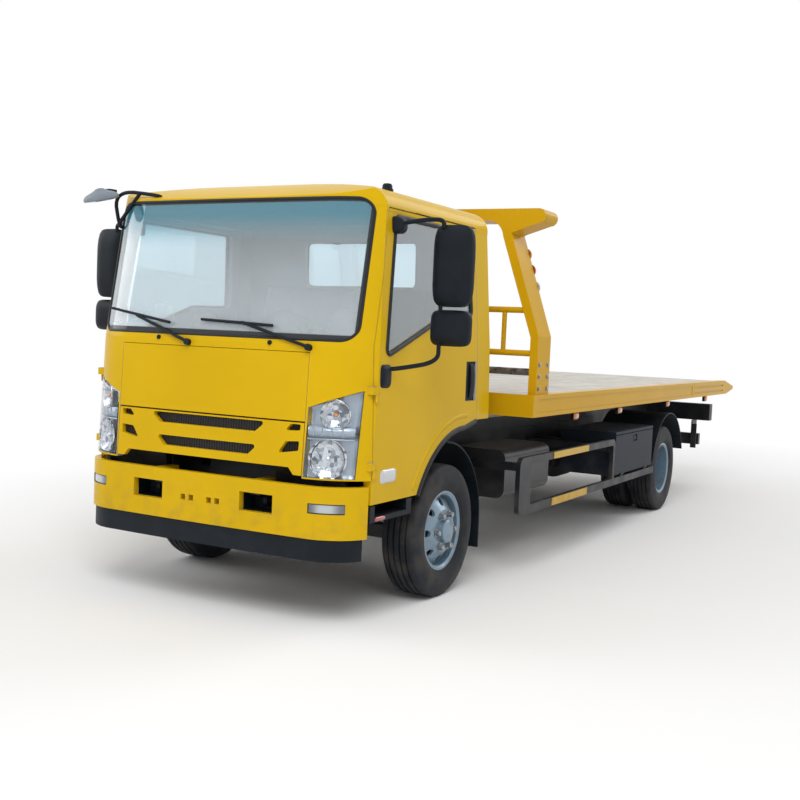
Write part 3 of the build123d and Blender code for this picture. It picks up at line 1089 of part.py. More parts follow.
# Outlines of the cab's openings
SCREEN_BOTTOM = 1512
SCREEN_TOP = 2264
SCREEN_HALF = 872
WINDOW_POINTS = tuple((FRONT_AXLE_X + x, z) for x, z in (
    (812, 1436), (120, 1676), (-248, 1690), (-206, 2188), (692, 2188)))
LAMP_POINTS = ((648, 796), (900, 796), (914, 1258), (656, 1160))
LAMP_BACK_X = DOOR_FRONT_X + 14
LID_HALF = 644
LID_Z = (1082, 1447)
GRILLE_POINTS = ((-640, 800), (-588, 800), (-556, 838), (556, 838), (588, 800), (640, 800), (640, 1078),
                 (-640, 1078))
SLOT_TABLE = (
    ((-401, 1068), (401, 1068), (330, 1010), (-330, 1010)),
    ((-353, 940), (353, 940), (292, 884), (-292, 884)),
)
SIDE_SLOT_TABLE = (
    ((618, 1068), (556, 1068), (521, 1030), (616, 1036)),
    ((614, 980), (530, 974), (483, 908), (612, 930)),
)
REAR_WINDOW = ((0, 2010), 860, 300)


def door_region(side, grow):
    """A thick block in the door's outline, larger or smaller all round."""
    rear_top = DOOR_REAR_X + CAB_BACK_LEAN * (DOOR_TOP - ARCH_Z)
    arch_rear = (DOOR_REAR_X, ARCH_Z)
    front_top = (DOOR_FRONT_X - SCREEN_RAKE * (DOOR_TOP - BELT_Z), DOOR_TOP)
    with BuildPart() as region:
        with BuildSketch(side_plane(max(side * 600, side * 1100))):
            with BuildLine():
                ThreePointArc((ARCH_FRONT_X, DOOR_BOTTOM), (FRONT_AXLE_X + 173, 900),
                              (FRONT_AXLE_X - 200, 1016))
                Polyline((FRONT_AXLE_X - 200, 1016), arch_rear, (rear_top, DOOR_TOP), front_top,
                         (DOOR_FRONT_X, BELT_Z), (DOOR_FRONT_X, DOOR_BOTTOM), (ARCH_FRONT_X, DOOR_BOTTOM))
            make_face()
            if grow:
                offset(amount=grow, kind=Kind.INTERSECTION, mode=Mode.REPLACE)
        extrude(amount=500)
    return region.part


def window_region(side, grow):
    """A thick block in the door window's outline."""
    with BuildPart() as region:
        with BuildSketch(side_plane(max(side * 600, side * 1100))) as outline:
            with BuildLine():
                Polyline(*WINDOW_POINTS, close=True)
            make_face()
            fillet(outline.vertices(), 34)
            if grow:
                offset(amount=grow, mode=Mode.REPLACE)
        extrude(amount=500)
    return region.part


def front_region(points, grow, radius=0, start=FRONT_AXLE_X + 550):
    """A thick block in an outline seen from the front."""
    with BuildPart() as region:
        with BuildSketch(front_plane(start)) as outline:
            with BuildLine():
                Polyline(*points, close=True)
            make_face()
            if radius:
                fillet(outline.vertices(), radius)
            if grow:
                offset(amount=grow, kind=Kind.INTERSECTION, mode=Mode.REPLACE)
        extrude(amount=700)
    return region.part


def mirrored(points, side):
    """The same outline on the other side."""
    return tuple((side * y, z) for y, z in points)


SCREEN_POINTS = ((-SCREEN_HALF, SCREEN_BOTTOM), (SCREEN_HALF, SCREEN_BOTTOM), (SCREEN_HALF, SCREEN_TOP),
                 (-SCREEN_HALF, SCREEN_TOP))
LID_POINTS = ((-LID_HALF, LID_Z[0]), (LID_HALF, LID_Z[0]), (LID_HALF, LID_Z[1]), (-LID_HALF, LID_Z[1]))
SCREEN_RADIUS = 84
SCREEN_HOLE = front_region(SCREEN_POINTS, 0, SCREEN_RADIUS)

# Door hinges: a barrel on the door, and above it one on the cab whose pin stands in it
HINGE_X = DOOR_FRONT_X - 5
HINGE_Y = 962
HINGE_BARREL = 8
HINGE_PIN = 4
HINGE_LENGTH = 40
HINGE_FEET = (800, 1200)

# Cab panels
with BuildPart() as cab_roof:
    add(cab_shell.part)
    block((CAB_BACK_X - 100, FRONT_AXLE_X + 1300), (-1100, 1100), (PROFILE_LOW, ROOF_SEAM),
          mode=Mode.SUBTRACT)
    add(SCREEN_HOLE, mode=Mode.SUBTRACT)
save(cab_roof.part, "cab_roof")

CAB_FRONT_LOW = BUMPER_Z[1] + 33

with BuildPart() as cab_front:
    add(cab_shell.part)
    block((FRONT_AXLE_X + 480, FRONT_AXLE_X + 1300), (-1100, 1100), (CAB_FRONT_LOW, ROOF_SEAM - SEAT_GAP),
          mode=Mode.INTERSECT)
    for side, _ in SIDES:
        add(door_region(side, SHUT_LINE / 2), mode=Mode.SUBTRACT)
        add(front_region(mirrored(LAMP_POINTS, side), 0, 0, LAMP_BACK_X), mode=Mode.SUBTRACT)
    add(SCREEN_HOLE, mode=Mode.SUBTRACT)
    add(front_region(LID_POINTS, 0), mode=Mode.SUBTRACT)
    block((FRONT_AXLE_X + 600, FRONT_AXLE_X + 1300), (-LID_HALF, LID_HALF), (700, LID_Z[0] + 1),
          mode=Mode.SUBTRACT)
    for side, _ in SIDES:
        for foot in HINGE_FEET:
            low = foot + HINGE_LENGTH + 1
            axis = (HINGE_X, side * HINGE_Y)
            rod((*axis, low), (*axis, low + HINGE_LENGTH), HINGE_BARREL)
            rod((*axis, foot + 4), (*axis, low + 4), HINGE_PIN)
            leaf = (low, low + HINGE_LENGTH)
            block((HINGE_X, HINGE_X + 34), (side * (HINGE_Y - 4), side * (HINGE_Y + 4)), leaf)
            block((HINGE_X + 10, HINGE_X + 34), (side * (HINGE_Y - 40), side * HINGE_Y), leaf)
save(cab_front.part, "cab_front")

with BuildPart() as cab_back:
    add(cab_shell.part)
    block((CAB_BACK_X - 100, DOOR_REAR_X + 64), (-1100, 1100), (ARCH_Z + 2, ROOF_SEAM - SEAT_GAP),
          mode=Mode.INTERSECT)
    for side, _ in SIDES:
        add(door_region(side, SHUT_LINE / 2), mode=Mode.SUBTRACT)
    with BuildSketch(front_plane(CAB_BACK_X - 100)) as rear_hole:
        with Locations(REAR_WINDOW[0]):
            RectangleRounded(REAR_WINDOW[1], REAR_WINDOW[2], 40)
    extrude(amount=300, mode=Mode.SUBTRACT)
save(cab_back.part, "cab_back")

with BuildPart() as windscreen:
    add(glass_shell.part)
    add(front_region(SCREEN_POINTS, -SEAT_GAP, SCREEN_RADIUS), mode=Mode.INTERSECT)
save(windscreen.part, "windscreen")

with BuildPart() as rear_window:
    add(glass_shell.part)
    with BuildSketch(front_plane(CAB_BACK_X - 100)) as rear_pane:
        with Locations(REAR_WINDOW[0]):
            RectangleRounded(REAR_WINDOW[1] - 2 * SEAT_GAP, REAR_WINDOW[2] - 2 * SEAT_GAP, 40)
    extrude(amount=300, mode=Mode.INTERSECT)
save(rear_window.part, "rear_window")

with BuildPart() as headlamps:
    for side, _ in SIDES:
        add(front_region(mirrored(LAMP_POINTS, side), -1.5, 0, LAMP_BACK_X + 1.5))
    add(cab_shell.part, mode=Mode.INTERSECT)
save(headlamps.part, "headlamps")

with BuildPart() as front_lid:
    add(cab_shell.part)
    add(front_region(LID_POINTS, -SHUT_LINE / 2), mode=Mode.INTERSECT)
save(front_lid.part, "front_lid")

GRILLE_WALL = 28
with BuildPart() as grille:
    add(OUTER)
    add(cab_volume(GRILLE_WALL, PROFILE_LOW + 150), mode=Mode.SUBTRACT)
    add(front_region(GRILLE_POINTS, -1.5), mode=Mode.INTERSECT)
    for points in SLOT_TABLE:
        add(front_region(points, 0, 12), mode=Mode.SUBTRACT)
    for side, _ in SIDES:
        for points in SIDE_SLOT_TABLE:
            add(front_region(mirrored(points, side), 0, 8), mode=Mode.SUBTRACT)
save(grille.part, "grille")

with BuildPart() as grille_insert:
    add(cab_volume(GRILLE_WALL + SEAT_GAP))
    add(INNER, mode=Mode.SUBTRACT)
    block((FRONT_AXLE_X + 600, FRONT_AXLE_X + 1300), (-630, 630), (866, 1076), mode=Mode.INTERSECT)
save(grille_insert.part, "grille_insert")

# Doors with their glass and mirrors
HANDLE_X = (FRONT_AXLE_X - 330, FRONT_AXLE_X - 184)
HANDLE_Y = 941
HANDLE_Z = (1170, 1412)
MIRROR_X = (560, 640)
MIRROR_Y = (1100, 1330)
MIRROR_TABLE = ((1716, 2150), (1507, 1700))
ARM_RADIUS = 12
ARM_TABLE = (
    ((612, 1118, 1440), (612, 1118, 2176)),
    ((612, 1118, 2160), (700, 900, 2150)),
    ((612, 1118, 1700), (700, 900, 2150)),
    ((612, 1118, 1452), (846, 930, 1330)),
)
MIRROR_BASES = (((640, 740), (2096, 2186)), ((796, 872), (1262, 1408)))

for side, name in SIDES:
    with BuildPart() as door:
        add(cab_shell.part)
        add(door_region(side, -SHUT_LINE / 2), mode=Mode.INTERSECT)
        add(window_region(side, 0), mode=Mode.SUBTRACT)
        block(HANDLE_X, (side * HANDLE_Y, side * 1000), HANDLE_Z, mode=Mode.SUBTRACT)
        for foot in HINGE_FEET:
            axis = (HINGE_X, side * HINGE_Y)
            rod((*axis, foot), (*axis, foot + HINGE_LENGTH), HINGE_BARREL)
            block((HINGE_X - 34, HINGE_X), (side * (HINGE_Y - 26), side * (HINGE_Y + 4)),
                  (foot, foot + HINGE_LENGTH))
            rod((*axis, foot + 2), (*axis, foot + HINGE_LENGTH + 1), HINGE_PIN + RUNNING_GAP,
                mode=Mode.SUBTRACT)
            rod((*axis, foot + HINGE_LENGTH + RUNNING_GAP), (*axis, foot + 2 * HINGE_LENGTH + 2),
                HINGE_BARREL + 4, mode=Mode.SUBTRACT)
    save(door.part, f"door_{name}")
    with BuildPart() as door_glass:
        add(glass_shell.part)
        add(window_region(side, -SEAT_GAP), mode=Mode.INTERSECT)
    save(door_glass.part, f"door_glass_{name}")
    with BuildPart() as mirror_head:
        for z in MIRROR_TABLE:
            with BuildSketch(front_plane(FRONT_AXLE_X + MIRROR_X[0])) as glass_outline:
                with Locations((side * sum(MIRROR_Y) / 2, sum(z) / 2)):
                    RectangleRounded(MIRROR_Y[1] - MIRROR_Y[0], z[1] - z[0], 36)
            extrude(amount=MIRROR_X[1] - MIRROR_X[0])
        for start, end in ARM_TABLE:
            rod((FRONT_AXLE_X + start[0], side * start[1], start[2]),
                (FRONT_AXLE_X + end[0], side * end[1], end[2]), ARM_RADIUS)
        for x, z in MIRROR_BASES:
            block((FRONT_AXLE_X + x[0], FRONT_AXLE_X + x[1]), (side * 890, side * 975), z)
        add(SKIN, mode=Mode.SUBTRACT)
    save(mirror_head.part, f"mirror_{name}")

# Cab floor: footwells, engine tunnel, seat platform and toe board
FLOOR_TOP = 1055
FLOOR_SHEET = 40
WELL_TOP = 690
WELL_BOTTOM = 660
WELL_REAR_X = FRONT_AXLE_X + 440
TUNNEL_HALF = 400
TUNNEL_SHEET = 14
TOE_LOW_X = FRONT_AXLE_X + 935
TOE_HIGH_X = FRONT_AXLE_X + 1026
TOE_SHEET = 28
TOE_BEND_Z = 1000
DASH_TOP = 1468
CAB_LUG_Y = (382, 412)
SPACER_TABLE = ((300, 960), (600, 960), (760, 960), (560, 1330), (0, 1330), (300, 1482))

with BuildPart() as cab_spacers:
    for side, _ in SIDES:
        for y, z in SPACER_TABLE:
            block((TOE_HIGH_X - TOE_SHEET, FRONT_AXLE_X + 1200), (side * y - 30, side * y + 30),
                  (z - 20, z + 20))
        block((CAB_BACK_X, CAB_BACK_X + 160), (side * 440, side * 560), (FLOOR_TOP - 4, FLOOR_TOP + 60))
    add(SEAT_ROOM, mode=Mode.INTERSECT)

with BuildPart() as cab_floor:
    side_plate(((CAB_BACK_X, FLOOR_TOP - FLOOR_SHEET), (TOE_HIGH_X - 10, FLOOR_TOP - FLOOR_SHEET),
                (TOE_HIGH_X - 10, FLOOR_TOP), (CAB_BACK_X, FLOOR_TOP)), -TUNNEL_HALF, TUNNEL_HALF)
    for side, _ in SIDES:
        wall = sorted((side * TUNNEL_HALF, side * (TUNNEL_HALF - TUNNEL_SHEET)))
        side_plate(((WELL_REAR_X, WELL_BOTTOM), (TOE_LOW_X, WELL_BOTTOM), (TOE_HIGH_X, TOE_BEND_Z),
                    (TOE_HIGH_X, FLOOR_TOP), (WELL_REAR_X, FLOOR_TOP)), wall[0], wall[1])
        well = sorted((side * (TUNNEL_HALF - 1), side * 930))
        side_plate(((CAB_BACK_X, FLOOR_TOP - FLOOR_SHEET), (WELL_REAR_X, FLOOR_TOP - FLOOR_SHEET),
                    (WELL_REAR_X, WELL_BOTTOM), (TOE_LOW_X, WELL_BOTTOM), (TOE_HIGH_X, TOE_BEND_Z),
                    (TOE_HIGH_X - TOE_SHEET, TOE_BEND_Z + 4), (TOE_LOW_X - TOE_SHEET, WELL_TOP),
                    (WELL_REAR_X + 24, WELL_TOP), (WELL_REAR_X + 24, FLOOR_TOP), (CAB_BACK_X, FLOOR_TOP)),
                   well[0], well[1])
    block((TOE_HIGH_X - TOE_SHEET, TOE_HIGH_X), (-930, 930), (960, 1500))
    add(ROOM, mode=Mode.INTERSECT)
    for side, _ in SIDES:
        block((FRONT_AXLE_X + 880, FRONT_AXLE_X + 1200), (side * 826, side * 1000), (600, 900),
              mode=Mode.SUBTRACT)
        lug = sorted((side * CAB_LUG_Y[0], side * CAB_LUG_Y[1]))
        side_plate(((TOE_LOW_X - 30, WELL_TOP), (CAB_TILT_X, CAB_TILT_Z + CAB_EYE_RADIUS - 1),
                    (CAB_TILT_X, CAB_TILT_Z - CAB_EYE_RADIUS + 1), (TOE_LOW_X - 30, WELL_BOTTOM)),
                   lug[0], lug[1])
        cross_rod(CAB_TILT_X, CAB_TILT_Z, lug[0], lug[1], CAB_EYE_RADIUS)
    add(cab_spacers.part)
    cross_rod(CAB_TILT_X, CAB_TILT_Z, -RAIL_Y - 60, RAIL_Y + 60, CAB_PIN_RADIUS + RUNNING_GAP,
              mode=Mode.SUBTRACT)
save(cab_floor.part, "cab_floor")

# Dashboard with the steering column, steering wheel and seats
DRIVER_Y = 470
WHEEL_CENTRE = (FRONT_AXLE_X + 590, DRIVER_Y, 1440)
COLUMN_AXIS = (-0.55, 0, 0.835)
STEERING_RADIUS = 205
STEERING_TUBE = 15
HUB_DROP = 56

with BuildPart() as dashboard:
    side_plate(((FRONT_AXLE_X + 820, 1290), (FRONT_AXLE_X + 800, 1400), (FRONT_AXLE_X + 850, DASH_TOP),
                (TOE_HIGH_X - TOE_SHEET - SEAT_GAP, DASH_TOP - 10), (TOE_HIGH_X - TOE_SHEET - SEAT_GAP, 1240),
                (FRONT_AXLE_X + 900, 1240)), -850, 850)
    block((FRONT_AXLE_X + 770, FRONT_AXLE_X + 900), (DRIVER_Y - 210, DRIVER_Y + 210), (1380, DASH_TOP + 42))
    block((FRONT_AXLE_X + 680, FRONT_AXLE_X + 840), (DRIVER_Y - 40, DRIVER_Y + 40), (1260, 1320))
    add(ROOM, mode=Mode.INTERSECT)
    column = Vector(*COLUMN_AXIS).normalized()
    top = Vector(*WHEEL_CENTRE) - column * (HUB_DROP + SEAT_GAP)
    foot = Vector(*WHEEL_CENTRE) - column * 420
    rod((foot.X, foot.Y, foot.Z), (top.X, top.Y, top.Z), 36)
save(dashboard.part, "dashboard")

with BuildPart() as steering_wheel:
    plane = Plane(origin=WHEEL_CENTRE, x_dir=(0, 1, 0), z_dir=COLUMN_AXIS)
    with BuildSketch(Plane(origin=plane.from_local_coords((STEERING_RADIUS, 0, 0)), x_dir=plane.x_dir,
                           z_dir=plane.y_dir)):
        Circle(STEERING_TUBE)
    revolve(axis=Axis(WHEEL_CENTRE, COLUMN_AXIS))
    with BuildSketch(plane.offset(-HUB_DROP)):
        Circle(58)
    extrude(amount=46)
    with BuildSketch(plane.offset(-22)):
        with PolarLocations(STEERING_RADIUS / 2 + 12, 3, start_angle=90):
            Rectangle(STEERING_RADIUS - 34, 38)
    extrude(amount=22)
save(steering_wheel.part, "steering_wheel")

SEAT_TABLE = ((DRIVER_Y, 430), (-320, 800))
SEAT_BASE_X = (FRONT_AXLE_X - 330, FRONT_AXLE_X + 140)
SEAT_BASE_TOP = FLOOR_TOP + 150
CUSHION_FRONT = (FRONT_AXLE_X + 170, FLOOR_TOP + 270)
CUSHION_REAR = (FRONT_AXLE_X - 250, FLOOR_TOP + 250)
BACKREST_TOP = FLOOR_TOP + 830
BACKREST_X = (FRONT_AXLE_X - 430, FRONT_AXLE_X - 330)
with BuildPart() as seats:
    for y, width in SEAT_TABLE:
        block(SEAT_BASE_X, (y - width / 2 + 30, y + width / 2 - 30), (FLOOR_TOP + SEAT_GAP, SEAT_BASE_TOP))
        side_plate(((BACKREST_X[0] + 30, SEAT_BASE_TOP), (CUSHION_FRONT[0], SEAT_BASE_TOP), CUSHION_FRONT,
                    CUSHION_REAR, (BACKREST_X[1], BACKREST_TOP), (BACKREST_X[0], BACKREST_TOP)),
                   y - width / 2, y + width / 2)
save(seats.part, "seats")

# Steps under the doors, wipers, and the kerb mirror frame on the right
STEP_X = (FRONT_AXLE_X + 442, FRONT_AXLE_X + 900)
STEP_Y = (740, 950)
STEP_Z = (560, WELL_BOTTOM - SEAT_GAP)

with BuildPart() as cab_steps:
    for side, _ in SIDES:
        block(STEP_X, (side * STEP_Y[0], side * STEP_Y[1]), (STEP_Z[0], 648))
        block((STEP_X[0] + 60, STEP_X[1] - 50), (side * (STEP_Y[0] + 60), side * (STEP_Y[1] + 1)), (588, 649),
              mode=Mode.SUBTRACT)
        block((STEP_X[0] + 6, STEP_X[1] - 30), (side * STEP_Y[0], side * (STEP_Y[0] + 50)), (640, STEP_Z[1]))
save(cab_steps.part, "cab_steps")

WIPER_TABLE = (
    ((1090, -157, 1470), (1056, -560, 1606), (1072, -300, 1572), (1040, -760, 1640)),
    ((1078, 640, 1474), (1066, 200, 1588), (1066, 400, 1578), (1064, -80, 1596)),
)
WIPER_BOSS = 18
WIPER_ARM = 9
WIPER_BLADE = 8

with BuildPart() as wipers:
    for pivot, _, _, _ in WIPER_TABLE:
        x = FRONT_AXLE_X + pivot[0]
        rod((x - 60, pivot[1], pivot[2] - 10), (x + 8, pivot[1], pivot[2]), WIPER_BOSS)
    add(SKIN, mode=Mode.SUBTRACT)
    for points in WIPER_TABLE:
        pivot, joint, inner, outer = ((FRONT_AXLE_X + x, y, z) for x, y, z in points)
        rod(pivot, joint, WIPER_ARM)
        rod(inner, outer, WIPER_BLADE)
save(wipers.part, "wipers")

KERB_TABLE = (
    ((820, -548, 2250), (900, -556, 2306)),
    ((900, -556, 2306), (930, -880, 2340)),
    ((930, -880, 2340), (880, -880, 2130)),
    ((880, -880, 2130), (740, -850, 2128)),
    ((915, -690, 2318), (880, -880, 2150)),
    ((930, -880, 2340), (1000, -912, 2306)),
)
KERB_TUBE = 11
KERB_CENTRE = (FRONT_AXLE_X + 1004, -914, 2302)
KERB_FACING = (-0.25, 0.1, -1)
KERB_RADIUS = 105
KERB_DEPTH = 34
KERB_TAPER = 22

with BuildPart() as kerb_mirror:
    for start, end in KERB_TABLE:
        rod((FRONT_AXLE_X + start[0], *start[1:]), (FRONT_AXLE_X + end[0], *end[1:]), KERB_TUBE)
        with Locations((FRONT_AXLE_X + start[0], *start[1:])):
            Sphere(KERB_TUBE)
    with BuildSketch(Plane(origin=KERB_CENTRE, z_dir=KERB_FACING)):
        Circle(KERB_RADIUS)
    extrude(amount=KERB_DEPTH, taper=KERB_TAPER)
    add(SKIN, mode=Mode.SUBTRACT)
save(kerb_mirror.part, "kerb_mirror")
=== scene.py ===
import math

import bmesh
import bpy
from mathutils import Matrix, Vector
from mathutils.bvhtree import BVHTree


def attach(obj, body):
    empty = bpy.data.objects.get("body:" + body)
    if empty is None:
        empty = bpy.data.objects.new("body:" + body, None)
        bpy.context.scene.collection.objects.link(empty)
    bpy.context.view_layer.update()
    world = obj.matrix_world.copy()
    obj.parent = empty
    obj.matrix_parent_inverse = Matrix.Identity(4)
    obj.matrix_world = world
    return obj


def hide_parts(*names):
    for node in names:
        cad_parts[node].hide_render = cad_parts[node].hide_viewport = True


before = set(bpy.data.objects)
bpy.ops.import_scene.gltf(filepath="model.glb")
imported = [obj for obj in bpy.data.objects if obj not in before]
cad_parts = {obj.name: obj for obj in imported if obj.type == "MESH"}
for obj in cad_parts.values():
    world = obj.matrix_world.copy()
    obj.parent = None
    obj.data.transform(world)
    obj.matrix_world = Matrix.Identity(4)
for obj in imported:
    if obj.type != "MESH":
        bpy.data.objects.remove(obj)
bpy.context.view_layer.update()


# Ladder frame: pressed steel rails, crossmembers, axles, springs and the tilting frame of the bed.
# All of it is sprayed in one satin black chassis paint, dusty where the wheels throw dirt.
class Wire:
    """A value that runs through a node tree; arithmetic on it adds Math nodes."""

    def __init__(self, tree, socket=None):
        self.tree = tree
        self.socket = socket

    def node(self, kind, settings, sockets, out=0):
        made = self.tree.nodes.new(kind)
        for name, value in settings.items():
            setattr(made, name, value)
        for name, value in sockets.items():
            if isinstance(value, Wire):
                self.tree.links.new(value.socket, made.inputs[name])
            else:
                made.inputs[name].default_value = value
        return Wire(self.tree, made.outputs[out])

    def math(self, operation, first, second=0.0):
        return self.node("ShaderNodeMath", {"operation": operation}, {0: first, 1: second})

    def __add__(self, other):
        return self.math("ADD", self, other)

    def __sub__(self, other):
        return self.math("SUBTRACT", self, other)

    def __rsub__(self, other):
        return self.math("SUBTRACT", other, self)

    def __mul__(self, other):
        return self.math("MULTIPLY", self, other)

    def __truediv__(self, other):
        return self.math("DIVIDE", self, other)

    def __abs__(self):
        return self.math("ABSOLUTE", self)

    __radd__ = __add__


def axes(place):
    """The three coordinates of a place on the piece, in metres."""
    split = place.node("ShaderNodeSeparateXYZ", {}, {0: place})
    return [Wire(place.tree, split.socket.node.outputs[i]) for i in range(3)]


def cloud(place, scale, detail=3.0):
    """Soft noise from 0 to 1, about 1/scale metres across."""
    return place.node("ShaderNodeTexNoise", {}, {"Vector": place, "Scale": scale, "Detail": detail})


def wave(value, rate):
    """Sine of a value times a rate, from -1 to 1."""
    return value.math("SINE", value * rate)


def ease(value, low, high, start=0.0, end=1.0):
    """Start below low, end above high, a smooth step between."""
    sockets = {"Value": value, "From Min": low, "From Max": high, "To Min": start, "To Max": end}
    return value.node("ShaderNodeMapRange", {"interpolation_type": "SMOOTHSTEP"}, sockets)


def blend_tint(first, second, amount):
    """Colour that runs from first to second."""
    colours = {0: amount}
    for index, colour in ((6, first), (7, second)):
        colours[index] = colour if isinstance(colour, Wire) else (*colour, 1.0)
    return amount.node("ShaderNodeMix", {"data_type": "RGBA"}, colours, 2)


def relief(height, depth, strength=1.0):
    """Surface that stands up by height times depth metres."""
    return height.node("ShaderNodeBump", {}, {"Height": height, "Distance": depth, "Strength": strength})


def blank(name):
    """New material, and the place on the piece that runs into it."""
    material = bpy.data.materials.new(name)
    material.use_nodes = True
    return material, Wire(material.node_tree).node("ShaderNodeTexCoord", {}, {}, "Object")


def set_sockets(shader, wires, **fixed):
    """Fills in a shader: wires holds what varies, fixed the rest."""
    for socket, value in fixed.items():
        shader.inputs[socket.replace("_", " ").title().replace("Ior", "IOR")].default_value = value
    for socket, wire in wires.items():
        wire.tree.links.new(wire.socket, shader.inputs[socket])


def finish(name, recipe, **fixed):
    """Material: recipe takes the place on the piece and returns what varies, fixed holds the rest."""
    material, place = blank(name)
    set_sockets(material.node_tree.nodes["Principled BSDF"], recipe(place), **fixed)
    return material


def dress(material, *nodes):
    """Gives CAD nodes their finish."""
    for node in nodes:
        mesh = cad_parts[node].data
        mesh.materials.clear()
        mesh.materials.append(material)


ROAD_DUST = (0.10, 0.09, 0.078)


def mottled(dark, light, noise, rough, mix=(), grain=(), dust=()):
    """Recipe of a coat that drifts from dark to light; rough and mix ease the drift, grain is a fine bump.

    dust is (height where it starts, height where it is full, ends of the drift that it lies on, share).
    """
    def coat(place):
        drift = cloud(place, *noise)
        colour = blend_tint(dark, light, ease(drift, *mix) if mix else drift)
        roughness = ease(drift, *rough)
        if dust:
            dirt = ease(axes(place)[2], *dust[:2]) * ease(drift, *dust[2:4]) * dust[4]
            colour = blend_tint(colour, ROAD_DUST, dirt)
            roughness = roughness + dirt * 0.4
        made = {"Base Color": colour, "Roughness": roughness}
        if grain:
            made["Normal"] = relief(cloud(place, *grain[:2]), *grain[2:])
        return made
    return coat


chassis_paint = mottled((0.006, 0.007, 0.010), (0.013, 0.015, 0.019), (6.0, 5.0), (0.2, 0.8, 0.34, 0.5),
                        grain=(420.0, 2.0, 0.0006, 0.35), dust=(1.0, 0.25, 0.42, 0.68, 0.45))
chassis_black = finish("chassis_black", chassis_paint, specular_ior_level=0.35)
dress(chassis_black, "chassis_frame", "front_axle", "rear_axle", "side_guards", "rear_beam", "tilt_frame",
      "knuckle_left", "knuckle_right", "tie_rod", "lift_barrels")


# Engine, gearbox and propeller shaft under the cab, with the radiator ahead of them.
# Castings in bare grey iron, oily and dusty; the radiator's core is a stack of thin fins.
def cast_iron(place):
    oil = ease(cloud(place, 5.0, 4.0), 0.45, 0.62)
    return {
        "Base Color": blend_tint((0.13, 0.125, 0.12), (0.035, 0.032, 0.03), oil),
        "Roughness": ease(oil, 0.0, 1.0, 0.72, 0.42),
        "Normal": relief(cloud(place, 160.0, 6.0), 0.0015, 0.5),
    }


def radiator_fins(place):
    # Fin edges are painted lighter and the gaps between fins darker: painted light and shade that follows the
    # fins' bump.
    fin = wave(axes(place)[2], 2400.0)
    return {
        "Base Color": blend_tint((0.02, 0.02, 0.022), (0.10, 0.10, 0.105), ease(fin, -0.4, 0.6)),
        "Roughness": ease(cloud(place, 8.0), 0.2, 0.8, 0.4, 0.65),
        "Normal": relief(fin, 0.001, 0.7),
    }


dress(finish("engine_casting", cast_iron, metallic=0.35), "drivetrain")
dress(finish("radiator_core", radiator_fins, metallic=0.5), "radiator")


# Fuel tank, battery case and air tank hang outside the rails on straps.
# Powder-coated steel with a dust line along the lower half.
tank_coat = mottled((0.018, 0.019, 0.022), (0.03, 0.031, 0.034), (9.0, 5.0), (0.0, 1.0, 0.38, 0.38),
                    grain=(700.0, 2.0, 0.0004, 0.4), dust=(0.75, 0.4, 0.4, 0.7, 0.5))
dress(finish("tank_coating", tank_coat), "tanks")


# Disc wheels: pressed steel, sprayed silver, with patches of brake dust.
# Six hexagon nuts hold each to its hub.
FRONT_AXLE_X = 2.895
REAR_AXLE_X = FRONT_AXLE_X - 4.4
AXLE_Z = 0.3985
SIDES = ((1, "left"), (-1, "right"))


def rim_silver(place):
    flake = cloud(place, 1500.0, 1.0)
    dust = ease(cloud(place, 22.0, 5.0), 0.48, 0.72) * 0.4
    bright = blend_tint((0.17, 0.25, 0.32), (0.25, 0.34, 0.42), flake)
    return {
        "Base Color": blend_tint(bright, (0.15, 0.14, 0.13), dust),
        "Roughness": 0.3 + dust * 0.5,
        "Normal": relief(flake, 0.0003, 0.2),
    }


rim_paint = finish("rim_silver", rim_silver, metallic=0.45, coat_weight=0.15)
dress(rim_paint, "wheel_front_left", "wheel_front_right", "wheels_rear_left", "wheels_rear_right")
zinc_plate = mottled((0.42, 0.43, 0.44), (0.22, 0.21, 0.19), (70.0, 4.0), (0.3, 0.7, 0.3, 0.5), (0.4, 0.7))
bolt_zinc = finish("bolt_zinc", zinc_plate, metallic=0.85)


def node_tree(name, takes, numbers, gives):
    """New tree that takes a geometry, numbers and a material; returns it and a Wire for each of them."""
    tree = bpy.data.node_groups.new(name, "GeometryNodeTree")
    sockets = {takes: "Geometry", **dict.fromkeys(numbers, "Float"), "Material": "Material"}
    for label, kind in sockets.items():
        tree.interface.new_socket(label, in_out="INPUT", socket_type="NodeSocket" + kind)
    tree.interface.new_socket(gives, in_out="OUTPUT", socket_type="NodeSocketGeometry")
    given = tree.nodes.new("NodeGroupInput").outputs
    return tree, [Wire(tree, given[label]) for label in sockets]


def end_tree(shape, material):
    """Makes instances real, gives them their material and hands them out of the tree."""
    solid = shape.node("GeometryNodeRealizeInstances", {}, {"Geometry": shape})
    coated = solid.node("GeometryNodeSetMaterial", {}, {"Geometry": solid, "Material": material})
    shape.tree.links.new(coated.socket, shape.tree.nodes.new("NodeGroupOutput").inputs[0])


